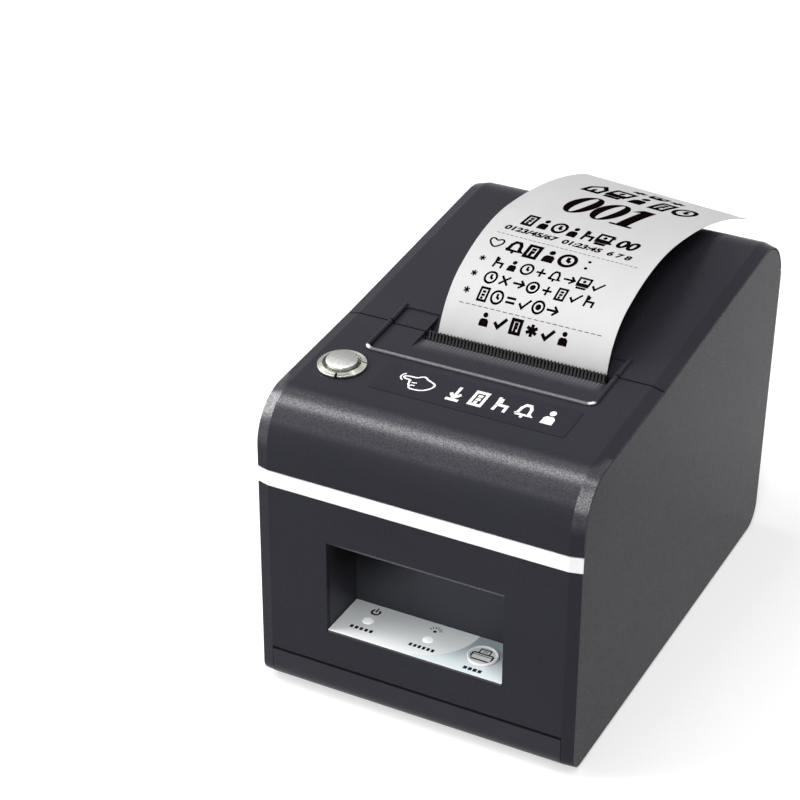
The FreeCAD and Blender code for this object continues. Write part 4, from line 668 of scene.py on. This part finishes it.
# Sheet of the ticket: a grid across and along, once for each side, joined round the edge.
def ticketSheet():
    share = np.linspace(0, 1, paper["rows"])
    across = np.linspace(-paper["half"], paper["half"], paper["columns"])
    ends = edgeMarks(0)[-1], edgeMarks(1)[-1]
    length = ends[0] + (ends[1] - ends[0]) * (across / paper["half"] + 1) / 2
    along = share[:, None] * length[None, :]
    across = np.broadcast_to(across, along.shape)
    half = paper["thickness"] / 2
    top = ticketPoint(across, along, half)
    low = ticketPoint(across, along, -half)
    loop = np.concatenate([top, low[:, ::-1]], 1)  # round each cross-section
    rows, columns = loop.shape[:2]
    faces = gridFaces(rows, columns, wrapColumns=True).tolist()
    width = top.shape[1]
    for base in (0, (rows - 1) * columns):  # close both ends
        upper = base + np.arange(width)
        lower = base + columns - 1 - np.arange(width)
        faces += np.stack([upper[:-1], upper[1:], lower[1:], lower[:-1]], -1).tolist()
    return loop, faces


points, faces = ticketSheet()
ticketPaper = thermalPaper("ticketPaper", paper["tone"])
newPiece("ticketSheet", points, faces, ticketPaper, "ticket", 60, ["ticket"])
print("ticket made")


# Flat marks are lists of (points, faces) on a plane. A band is a path with a width; at each point
# it is set off to both sides along the mean of the two neighbouring edges' normals.
def band(path, width, closed=False):
    path = np.array(path, float)
    before, after = np.roll(path, 1, 0), np.roll(path, -1, 0)
    if not closed:
        before[0], after[-1] = 2 * path[0] - path[1], 2 * path[-1] - path[-2]
    one = (path - before) / np.linalg.norm(path - before, axis=1)[:, None]
    two = (after - path) / np.linalg.norm(after - path, axis=1)[:, None]
    mean = one + two
    mean /= np.linalg.norm(mean, axis=1)[:, None]
    spread = width / 2 / np.clip((mean * one).sum(1), 0.5, 1)
    offset = np.stack([-mean[:, 1], mean[:, 0]], -1) * spread[:, None]
    points = np.stack([path + offset, path - offset], 1).reshape(-1, 2)
    return points, gridFaces(len(path), 2, wrapRows=closed).tolist()


# Points along an arc, flattened by a share of its height; a full turn leaves out the last point.
def arcPath(x, y, radius, low=0, high=360, flat=1.0, count=24):
    angle = np.radians(np.linspace(low, high, count + 1))
    if high - low == 360:
        angle = angle[:-1]
    return np.stack([x + radius * np.cos(angle), y + radius * flat * np.sin(angle)], -1)


def patch(outline):  # one face within an outline that bulges everywhere
    return np.array(outline, float), [list(range(len(outline)))]


def bar(x0, x1, y0, y1, r):  # bar with round corners
    centres = [(x1 - r, y1 - r), (x0 + r, y1 - r), (x0 + r, y0 + r), (x1 - r, y0 + r)]
    corners = [arcPath(x, y, r, 90 * k, 90 * k + 90, 1, 4) for k, (x, y) in enumerate(centres)]
    return patch(np.concatenate(corners))


def ringMark(x, y, outer, inner):  # ring between two ovals, each given by its half width and height
    ovals = [arcPath(x, y, wide, flat=tall / wide, count=40) for wide, tall in (outer, inner)]
    return np.stack(ovals, 1).reshape(-1, 2), gridFaces(len(ovals[0]), 2, wrapRows=True).tolist()


def rounded(outline):  # cuts each corner of a closed outline, twice
    path = np.array(outline, float)
    for _ in range(2):
        after = np.roll(path, -1, 0)
        path = np.stack([path * 0.75 + after * 0.25, path * 0.25 + after * 0.75], 1).reshape(-1, 2)
    return path


# Symbols in a square from -1 to 1. Each entry is a path, a loop, a ring, a dot or a filled outline.
symbols = {
    "clock": [("ring", 0, 0, 0.85), ("path", (0, 0.5), (0, 0), (0.36, -0.22))],
    "person": [("dot", 0, 0.55, 0.34), ("fill", (-0.62, -0.95), (0.62, -0.95), (0.6, -0.2),
                                         (0.35, 0.08), (-0.35, 0.08), (-0.6, -0.2))],
    "ticket": [("loop", (-0.6, -0.85), (0.6, -0.85), (0.6, 0.85), (-0.6, 0.85)),
               ("path", (-0.25, 0.35), (0.25, 0.35)), ("path", (-0.25, -0.1), (0.25, -0.1)),
               ("path", (-0.25, -0.5), (0.1, -0.5))],
    "bell": [("path", (-0.85, -0.55), (-0.6, -0.4), (-0.52, 0.3), (-0.25, 0.75), (0.25, 0.75),
              (0.52, 0.3), (0.6, -0.4), (0.85, -0.55), (-0.8, -0.55)), ("dot", 0, -0.82, 0.17)],
    "arrow": [("path", (-0.85, 0), (0.7, 0)), ("path", (0.15, 0.6), (0.8, 0), (0.15, -0.6))],
    "down": [("path", (0, 0.85), (0, -0.45)), ("path", (-0.55, -0.1), (0, -0.72), (0.55, -0.1)),
             ("path", (-0.7, -0.95), (0.7, -0.95))],
    "check": [("path", (-0.75, -0.05), (-0.2, -0.65), (0.8, 0.65))],
    "cross": [("path", (-0.65, -0.65), (0.65, 0.65)), ("path", (-0.65, 0.65), (0.65, -0.65))],
    "seat": [("path", (-0.6, 0.9), (-0.5, -0.1), (0.6, -0.1), (0.6, -0.9)),
             ("path", (-0.5, -0.1), (-0.55, -0.9)), ("path", (-0.3, 0.75), (-0.25, 0.15))],
    "window": [("loop", (-0.85, -0.2), (0.85, -0.2), (0.85, 0.85), (-0.85, 0.85)),
               ("path", (-0.95, -0.5), (0.95, -0.5)), ("dot", 0, 0.3, 0.25),
               ("path", (-0.75, -0.9), (0.75, -0.9))],
    "house": [("loop", (-0.7, -0.85), (0.7, -0.85), (0.7, 0.1), (0, 0.85), (-0.7, 0.1)),
              ("path", (0, -0.8), (0, -0.2))],
    "button": [("ring", 0, 0, 0.82), ("dot", 0, 0, 0.42)],
    "plus": [("path", (-0.7, 0), (0.7, 0)), ("path", (0, -0.7), (0, 0.7))],
    "equals": [("path", (-0.7, 0.3), (0.7, 0.3)), ("path", (-0.7, -0.3), (0.7, -0.3))],
    "star": [("path", (0, 0.8), (0, -0.8)), ("path", (-0.7, 0.4), (0.7, -0.4)),
             ("path", (-0.7, -0.4), (0.7, 0.4))],
}


def slanted(marks, middle, slant):  # leans marks about the height of their middle
    return [(points + np.outer(points[:, 1] - middle, (slant, 0)), faces) for points, faces in marks]


def symbol(name, x, y, wide, tall, weight, slant=0.0):
    made = []
    stroke = 4 * weight / (wide + tall)  # in the symbol's own measure
    for kind, *rest in symbols[name]:
        if kind == "ring":
            made.append(band(arcPath(*rest, count=20), stroke, True))
        elif kind == "dot":
            made.append(patch(arcPath(*rest, count=12)))
        elif kind == "fill":
            made.append(patch(rest))
        else:
            made.append(band(rest, stroke, kind == "loop"))
    placed = [(points * (wide / 2, tall / 2) + (x, y), faces) for points, faces in made]
    return slanted(placed, y, slant)


def joined(marks):  # several marks as one
    points, faces, count = [], [], 0
    for p, f in marks:
        points.append(p)
        faces += [[i + count for i in face] for face in f]
        count += len(p)
    return np.concatenate(points), faces


def meshPoints(mesh):
    flat = np.zeros(len(mesh.vertices) * 3)
    mesh.vertices.foreach_get("co", flat)
    return flat.reshape(-1, 3)


# Digits from the built-in face, as flat faces, scaled to a box and slanted.
def digits(text, x0, x1, y0, tall, slant, bold):
    curve = bpy.data.curves.new("digits", "FONT")
    curve.body = text
    curve.offset = bold
    curve.resolution_u = 4
    holder = bpy.data.objects.new("digits", curve)
    mesh = bpy.data.meshes.new_from_object(holder)
    flat = meshPoints(mesh)[:, :2]
    faces = [list(polygon.vertices) for polygon in mesh.polygons]
    bpy.data.objects.remove(holder)
    bpy.data.curves.remove(curve)
    bpy.data.meshes.remove(mesh)
    low, high = flat.min(0), flat.max(0)
    points = (flat - low) / (high - low) * (x1 - x0, tall) + (x0, y0)
    return slanted([(points, faces)], y0 + tall / 2, slant)


ink = {"lift": 0.03, "sink": 0.045}  # how far a print stands over its surface, and its thickness


# Flat marks, cut into strips where the surface bends, are lifted onto it and get a thin body that
# sinks into it.
def printOn(name, marks, place, material, body, cut=0.0):
    points, faces = joined(marks)
    mesh = bpy.data.meshes.new(name)
    mesh.from_pydata(np.c_[points, np.zeros(len(points))].tolist(), [], faces)
    flat = bmesh.new()
    flat.from_mesh(mesh)
    bmesh.ops.triangulate(flat, faces=flat.faces)
    if cut:
        low, high = points[:, 1].min(), points[:, 1].max()
        for line in np.arange(math.ceil(low / cut) * cut, high, cut):
            whole = flat.verts[:] + flat.edges[:] + flat.faces[:]
            bmesh.ops.bisect_plane(flat, geom=whole, plane_co=(0, line, 0), plane_no=(0, 1, 0))
    bmesh.ops.recalc_face_normals(flat, faces=flat.faces)
    bmesh.ops.reverse_faces(flat, faces=[face for face in flat.faces if face.normal.z < 0])
    flat.to_mesh(mesh)
    flat.free()
    across, along, _ = meshPoints(mesh).T
    mesh.vertices.foreach_set("co", place(across, along, ink["lift"]).ravel())
    mesh.update()
    piece = settle(name, mesh, material, body)
    thick = piece.modifiers.new("body", "SOLIDIFY")
    thick.thickness = ink["sink"] * mm
    thick.offset = -1


# Rows of the ticket: distance from the tear line to the row's middle, size of its symbols, width of
# their lines, place of the first one and step to the next.
small = {"tall": 5.2, "wide": 4.5, "weight": 0.78, "from": -17.6}
rows = [
    {"at": 8.4, "tall": 5.0, "wide": 5.0, "weight": 1.1, "from": -14.6, "step": 5.5,
     "names": ["person", "check", "ticket", "star", "check", "person"]},
    {**small, "at": 16.2, "step": 4.8,
     "names": ["ticket", "clock", "equals", "check", "button", "arrow"]},
    {**small, "at": 22.6, "step": 4.9,
     "names": ["clock", "cross", "arrow", "button", "plus", "ticket", "check", "seat"]},
    {**small, "at": 29.2, "step": 4.9,
     "names": ["seat", "person", "clock", "plus", "bell", "arrow", "window", "check"]},
    {"at": 37.4, "tall": 6.6, "wide": 6.2, "weight": 1.25, "from": -15.6, "step": 6.1,
     "names": ["bell", "ticket", "person", "clock"]},
    {"at": 53.8, "tall": 7.6, "wide": 5.1, "weight": 1.15, "from": -17.8, "step": 5.2,
     "names": ["ticket", "person", "clock", "person", "seat", "window"]},
    {"at": 103.4, "tall": 15.0, "wide": 7.6, "weight": 2.0, "from": -14.4, "step": 8.0,
     "names": ["house", "window", "person", "ticket", "clock"]},
    {"at": 117.5, "tall": 7.0, "wide": 6.4, "weight": 1.4, "from": -4.0, "step": 7.0,
     "names": ["star", "window", "star"]},
]
extras = {
    "slant": 0.06,
    "bullets": (16.4, 22.8, 29.4), "bullet": (2.6, 2.9, 0.5), "bulletX": -23.6,
    "heart": (-22.4, 37.2), "heartSize": (2.4, 2.3), "heartWidth": 0.65,
    "rules": ((12.0, 1.5), (42.7, 1.1)), "ruleEnds": (-24.6, 24.0), "ruleHalf": 0.11,  # place, dash
    # digits: text, left and right end, foot, height, slant, boldness
    "digits": (("0123/45/67  01:23:45  6 7 8", -23.4, 20.7, 45.2, 2.9, 0.22, 0.045),
               ("00", 13.0, 20.0, 51.0, 6.4, 0.2, 0.04)),
    "dots": ((10.9, 52.0, 0.65), (10.9, 56.0, 0.65), (9.5, 36.0, 0.6), (9.5, 39.4, 0.6)),
}


def ticketMarks():
    marks = []
    for row in rows:
        for k, name in enumerate(row["names"]):
            x = row["from"] + k * row["step"]
            marks += symbol(name, x, row["at"], row["wide"], row["tall"], row["weight"], extras["slant"])
    for y in extras["bullets"]:
        marks += symbol("star", extras["bulletX"], y, *extras["bullet"])
    heart = rounded([(0, -1), (0.9, 0.0), (1.0, 0.75), (0.55, 1.05), (0, 0.55), (-0.55, 1.05),
                     (-1.0, 0.75), (-0.9, 0.0)])
    marks.append(band(heart * extras["heartSize"] + extras["heart"], extras["heartWidth"], True))
    for y, dash in extras["rules"]:  # broken fine rules, with gaps of 0.45 dash
        for x in np.arange(*extras["ruleEnds"], dash * 1.45):
            marks.append(bar(x, x + dash, y - extras["ruleHalf"], y + extras["ruleHalf"], 0.1))
    for line in extras["digits"]:
        marks += digits(*line)
    marks += [patch(arcPath(*dot, count=12)) for dot in extras["dots"]]
    return marks


number = {"foot": 67.6, "tall": 22.6, "slant": 0.11,
          "ovals": (-9.6, 0.0), "ovalHalf": 4.7, "holeHalf": 1.55, "thin": 1.2,
          "stem": (7.1, 10.9), "base": (5.0, 12.9), "baseTall": 1.4}


# The number: two ovals, thick at their sides, and a one with foot and flag, all slanted.
def bigNumber(number):
    low, half = number["foot"], number["tall"] / 2
    middle, top = low + half, low + 2 * half
    outer, inner = (number["ovalHalf"], half), (number["holeHalf"], half - number["thin"])
    made = [ringMark(x, middle, outer, inner) for x in number["ovals"]]
    for (left, right), head in ((number["stem"], top), (number["base"], low + number["baseTall"])):
        made.append(patch([(left, low), (right, low), (right, head), (left, head)]))
    x = number["stem"][0]
    made.append(patch([(x - 2.5, top - 5.0), (x + 0.1, top - 3.7), (x + 0.1, top), (x - 0.5, top)]))
    return slanted(made, middle, number["slant"])


def onTicket(across, along, lift):
    return ticketPoint(across, along, lift + paper["thickness"] / 2)


thermalBlack = printInk("thermalBlack", (0.0040, 0.0018, 0.0018), 0.75, 0.006)
printOn("ticketPrint", ticketMarks(), onTicket, thermalBlack, "ticket", 0.8)
printOn("ticketNumber", bigNumber(number), onTicket, thermalBlack, "ticket", 1.5)
print("ticket printed")


def onCover(base):  # puts (x, y) on the front cover, y being 0 at the seam, at a height over its skin
    return lambda x, y, lift: coverPoint(x, -y, base + lift) * mm


def level(base):  # puts (x, y) on a level plane
    return lambda x, y, lift: np.stack(np.broadcast_arrays(x, y, base + lift), -1) * mm


label = {"height": 0.15, "weight": 1.15, "tall": 8.0, "wide": 6.2, "y": -29.0,
         "places": (-1.2, 6.2, 14.0, 21.7, 30.0), "names": ("down", "ticket", "seat", "bell", "person"),
         "hand": (-14.6, -28.9), "handSize": 0.82}


# Five symbols, and a hand from the right whose finger reaches left, over a round key. The hand is
# drawn in its own measure: its outline, two folded fingers and a part of the key's edge.
def labelMarks():
    marks = []
    for x, name in zip(label["places"], label["names"]):
        marks += symbol(name, x, label["y"], label["wide"], label["tall"], label["weight"])
    hand = rounded([(-6.0, 0.7), (-7.0, 1.7), (-6.0, 2.7), (-1.6, 2.8), (-0.4, 4.3), (1.4, 4.5),
                    (2.2, 3.3), (7.6, 1.2), (4.6, -4.2), (-0.6, -5.0), (-2.2, -4.2), (-2.2, -3.0),
                    (-3.2, -2.4), (-3.0, -1.2), (-3.7, -0.6), (-3.2, 0.6)])
    folds = [[(-2.3, y), (-1.3, y + 0.1), (-0.3, y + 0.35)] for y in (-0.75, -2.6)]
    keyEdge = arcPath(-5.5, 1.8, 2.5, 120, 250, 1.0, 12)
    drawn = [(hand, 0.62, True), (folds[0], 0.55, False), (folds[1], 0.55, False), (keyEdge, 0.5, False)]
    for outline, width, closed in drawn:
        marks.append(band(np.array(outline) * label["handSize"] + label["hand"], width, closed))
    return marks


printWhite = printInk("printWhite", (0.9, 0.9, 0.9), 0.4, 0.0)
printOn("labelMarks", labelMarks(), onCover(label["height"]), printWhite, "housing")
print("label printed")

panel = {
    "row": -71.5, "keyX": 19.3, "lamps": (-21.3, 0.2),  # y of key and lamps, and their x
    "power": (-21.3, 5.3), "light": (0.15, 4.7),  # symbols: x, distance behind that row
    # short bars below lamps and key: middle, number, pitch, width, distance ahead of the row
    "bars": ((-21.2, 5, 1.72, 1.1, 5.5), (0.2, 6, 1.55, 0.98, 5.5), (19.3, 4, 1.66, 1.25, 8.3)),
    "barTall": 1.5,
}


def panelMarks():
    row = panel["row"]
    x, y = panel["power"][0], row + panel["power"][1]
    marks = [band(arcPath(x, y, 1.35, 125, 415, 1.0, 20), 0.68), band([(x, y - 0.1), (x, y + 2.1)], 0.6)]
    x, y = panel["light"][0], row + panel["light"][1]
    marks.append(patch(arcPath(x, y, 0.6, count=14)))
    for angle in np.radians(range(20, 161, 28)):  # rays over the dot
        ray = [(x + r * math.cos(angle), y + 0.2 + r * math.sin(angle)) for r in (1.3, 2.5)]
        marks.append(band(ray, 0.26))
    for middle, count, pitch, wide, ahead in panel["bars"]:
        for k in range(count):
            x = middle + (k - (count - 1) / 2) * pitch
            low = row - ahead
            marks.append(bar(x - wide / 2, x + wide / 2, low, low + panel["barTall"], 0.2))
    return marks


panelInk = printInk("panelInk", (0.02, 0.02, 0.024), 0.4, 0.01)
printOn("panelMarks", panelMarks(), level(foil["floor"]), panelInk, "housing")


# Profile of (radius, height) turned about an upright axis through (x, y). A notch lowers what lies
# beyond a radius and above a height, close to some angles; extra steps keep its sides steep.
def turned(profile, x, y, place, steps=96, notch=None):
    profile = np.array(profile, float)
    angle = np.linspace(0, 2 * math.pi, steps, endpoint=False)
    if notch:
        sides = [side * notch["half"] + soft * notch["soft"] for side in (-1, 1) for soft in (-1, 1)]
        extra = np.radians([at + side for at in notch["at"] for side in sides])
        angle = np.sort(np.concatenate([angle, np.mod(extra, 2 * math.pi)]))
    radius = profile[:, 0][None, :]
    u = x + radius * np.cos(angle)[:, None]
    v = y + radius * np.sin(angle)[:, None]
    height = np.broadcast_to(profile[:, 1][None, :], u.shape).copy()
    if notch:
        for at in notch["at"]:
            away = np.abs((np.degrees(angle) - at + 180) % 360 - 180)[:, None]
            low = (away < notch["half"]) & (radius > notch["beyond"]) & (height > notch["above"])
            height[low] -= notch["deep"]
    return place(u, v, height), gridFaces(len(angle), len(profile), wrapRows=True).tolist()


notch = {"at": (-76.0, 24.0), "half": 2.4, "soft": 0.2, "beyond": 5.7, "above": 0.55, "deep": 0.5}
bezel = {"bore": 5.17, "flange": 7.9, "body": 5.9, "under": 0.3, "length": 13.0, "shelf": 3.5,
         "stemBore": 2.67, "pitch": 1.0, "threadDeep": 0.35, "land": 0.15}


def bezelProfile(bezel):
    bore, body, flange = bezel["bore"], bezel["body"], bezel["flange"]
    under, shelf, length = bezel["under"], bezel["shelf"], bezel["length"]
    stem, pitch, land = bezel["stemBore"], bezel["pitch"], bezel["land"]
    face = [(bore, -shelf), (bore, 0.85), (bore + 0.05, 0.9), (6.02, 0.9), (6.08, 0.95), (6.16, 1.38),
            (6.24, 1.48), (6.34, 1.47), (6.9, 1.24), (7.45, 1.04), (7.6, 1.03), (7.76, 0.96),
            (7.86, 0.84), (flange, 0.7), (flange, under + 0.06), (flange - 0.06, under), (body, under)]
    thread = []
    for z in np.arange(0.0, -length + 0.9 * pitch, -pitch):
        root = (body - bezel["threadDeep"], z - pitch / 2)
        thread += [(body, z - land), root, (body, z - pitch + land)]
    return face + thread + [(body, -length), (stem, -length), (stem, -shelf), (bore, -shelf)]


# The glint fan holds painted brightness by angle, once round; slots are angle and half width in degrees.
fan = ((0.0, 0.34), (0.08, 0.42), (0.135, 0.60), (0.165, 0.95), (0.2, 0.62), (0.25, 0.42), (0.285, 0.27),
       (0.31, 0.22), (0.37, 0.27), (0.395, 0.5), (0.41, 0.92), (0.43, 0.58), (0.48, 0.44), (0.55, 0.60),
       (0.60, 0.42), (0.68, 0.62), (0.78, 0.46), (0.9, 0.36), (1.0, 0.34))
flangeLook = {"rough": 0.3, "groove": (6.15, 5.9), "grooveShade": (0.10, 0.10, 0.08), "slotFrom": 6.25,
              "slotTone": (0.006, 0.006, 0.006), "slots": tuple(zip(notch["at"], (3.2, 2.0))),
              "fan": [(place, (tone, tone, tone * 0.9)) for place, tone in fan]}
# the tones paint the cap's light: pale at the front, greyer behind
capLook = {"rough": 0.36, "rise": 0.09, "mottle": 0.9,
           "tones": [(0.0, (0.90, 0.90, 0.88)), (0.22, (0.66, 0.66, 0.64)), (0.5, (0.42, 0.42, 0.41)),
                     (0.8, (0.33, 0.34, 0.32)), (1.0, (0.30, 0.31, 0.29))]}
steel = turnedFlange("turnedSteel", flangeLook, buttonCentre, slopeTurn)
capSteel = blastedCapWithPaintedLight("capSteel", capLook, buttonCentre, slopeTurn)
points, faces = turned(bezelProfile(bezel), button["x"], -button["ahead"], onCover(0.0), 120, notch)
newPiece("buttonBezel", points, faces, steel, "housing", 35, ["button_bezel"])

cap = {"crownRadius": 4.6, "crownHeight": 2.8, "crownFall": 0.0125,  # it falls with the radius squared
       "rim": [(4.85, 2.46), (5.02, 2.34), (5.1, 2.12), (5.1, 1.2), (5.1, -1.75), (5.05, -1.8)],
       "stem": [(2.6, -1.8), (2.6, -13.2), (2.5, -13.3), (0, -13.3)]}
radius = np.linspace(0, cap["crownRadius"], 9)
crown = np.stack([radius, cap["crownHeight"] - cap["crownFall"] * radius**2], -1).tolist()
points, faces = turned(crown + cap["rim"] + cap["stem"], button["x"], -button["ahead"], onCover(0.0))
newPiece("buttonCap", points, faces, capSteel, "take_button", 35, ["button_cap"])

key = {"face": 28.38, "symbolDown": 0.1,
       "profile": [(0, 28.38), (3.9, 28.38), (4.12, 28.45), (4.3, 28.62), (4.5, 28.7), (4.75, 28.69),
                   (4.98, 28.58), (5.08, 28.4), (5.1, 28.2), (5.1, 27.9), (2.0, 27.9), (2.0, 23.6),
                   (1.9, 23.5), (0, 23.5)]}
keyLook = {"dish": ((0.62, 0.66, 0.68), (0.88, 0.90, 0.91)), "dishRise": (4.0, -4.0),
           "ring": (0.97, 0.97, 0.97), "ringFrom": (4.03, 4.27)}
keyMetal = keyFinish("feedKey", keyLook, (panel["keyX"], panel["row"], key["face"]))
points, faces = turned(key["profile"], panel["keyX"], panel["row"], level(0.0))
newPiece("feedKey", points, faces, keyMetal, "feed_key", 35, ["feed_button"])


def keyMarks():  # a printer with a sheet standing in it
    case = [(-3.4, -2.5), (3.4, -2.5), (3.5, -2.2), (3.5, 0.3), (3.1, 0.8), (-3.1, 0.8), (-3.5, 0.3),
            (-3.5, -2.2)]
    made = [band(case, 0.6, True), band([(-3.3, -0.1), (3.3, -0.1)], 0.28),
            band([(-1.8, 0.9), (-1.7, 3.1), (1.7, 3.1), (1.8, 0.9)], 0.45)]
    made += [band([(-0.9, y), (0.9, y)], 0.26) for y in (2.4, 1.7)]
    return [(p + (panel["keyX"], panel["row"] - key["symbolDown"]), f) for p, f in made]


printOn("keySymbol", keyMarks(), level(key["face"]), panelInk, "feed_key")

# the lenses are unlit; their glow is painted light
lens = {"tone": (0.95, 0.96, 0.96), "rough": 0.25, "gloss": 0.5, "glow": 0.3,
        "profile": [(0, 28.3), (1.3, 28.26), (1.7, 28.14), (1.86, 27.96), (1.9, 27.8), (1.9, 19.4),
                    (0, 19.4)]}
lensFinish = smoothPlastic("lampLens", lens["tone"], lens["rough"], lens["gloss"], lens["glow"])
made = [turned(lens["profile"], x, panel["row"], level(0.0), 48) for x in panel["lamps"]]
points, faces = joined([(p.reshape(-1, 3), f) for p, f in made])
newPiece("lampLenses", points, faces, lensFinish, "housing", 35, ["lamp_windows"])
print("button, key and lamps made")

stage = {
    "skyLight": 0.04,  # strength of the sky on the object; it shows as plain white
    "floorTone": 0.64, "floorLift": 0.50,  # its colour, and the light that the camera sees added to it
    "floorHalf": 6.0,
    # name: place, aim, roll in degrees, width, height, power
    "lamps": {
        "key": ((-1.08, -0.41, 2.66), (0, -0.07, 0.10), 0, 0.78, 1.66, 32.0),
        "left": ((-2.23, -0.72, 1.44), (-0.05, -0.07, 0.10), -20, 2.9, 0.40, 60.0),
        "crown": ((0.47, -0.40, 2.80), (0.05, -0.07, 0.10), 0, 0.20, 2.6, 21.0),
        "front": ((0.57, -2.08, 2.02), (0.05, -0.07, 0.07), 0, 0.45, 2.7, 35.0),
        "fill": ((-0.9, -2.6, 1.15), (0, -0.08, 0.06), 0, 1.5, 1.3, 13.0),
        "rear": ((1.5, 1.3, 1.9), (0, 0, 0.10), 0, 1.6, 1.6, 7.5),
    },
}
plainRays = ("Is Camera Ray", "Is Glossy Ray", "Is Transmission Ray")  # rays that see plain white


# The sky is white to the rays that see plain white and dim to all others, so that it hardly lights
# the object; six soft lamps do.
def lightStage(stage):
    world = bpy.data.worlds.new("studio")
    bpy.context.scene.world = world
    world.use_nodes = True
    tree = world.node_tree
    rays = tree.nodes.new("ShaderNodeLightPath")
    seen = [rays.outputs[name] for name in plainRays]
    total = seen[0]
    for socket in seen[1:]:
        most = tree.nodes.new("ShaderNodeMath")
        most.operation = "MAXIMUM"
        tree.links.new(total, most.inputs[0])
        tree.links.new(socket, most.inputs[1])
        total = most.outputs[0]
    strength = tree.nodes.new("ShaderNodeMapRange")
    strength.inputs["To Min"].default_value = stage["skyLight"]
    strength.inputs["To Max"].default_value = 1.0
    tree.links.new(total, strength.inputs["Value"])
    sky = tree.nodes["Background"]
    sky.inputs["Color"].default_value = (1, 1, 1, 1)
    tree.links.new(strength.outputs[0], sky.inputs["Strength"])
    for name, (place, aim, roll, width, height, power) in stage["lamps"].items():
        data = bpy.data.lights.new(name, "AREA")
        data.shape = "RECTANGLE"
        data.size, data.size_y = width, height
        data.energy = power
        lamp = addObject(name, data)
        lamp.location = place
        toward = Vector(aim) - Vector(place)
        lamp.rotation_euler = toward.to_track_quat("-Z", "Y").to_euler()
        lamp.rotation_euler.rotate_axis("Z", math.radians(roll))


def layFloor(stage):
    half, tone = stage["floorHalf"], stage["floorTone"]
    mesh = bpy.data.meshes.new("floor")
    mesh.from_pydata([(-half, -half, 0), (half, -half, 0), (half, half, 0), (-half, half, 0)],
                     [], [(0, 1, 2, 3)])
    floor = addObject("floor", mesh)
    p = Paint("floorWhite", plain((tone, tone, tone), 0.9, gloss=0.0))
    camera, glossy, through = [p.add("ShaderNodeLightPath", output=ray) for ray in plainRays]
    seen = camera.most(glossy).most(through)
    p.feed("Emission Color", p.blend(seen * stage["floorLift"], (0, 0, 0), (1, 1, 1)))
    p.shader.inputs["Emission Strength"].default_value = 1.0
    mesh.materials.append(p.material)


lightStage(stage)
layFloor(stage)
bpy.context.scene.view_settings.view_transform = "Standard"
print("stage lit")
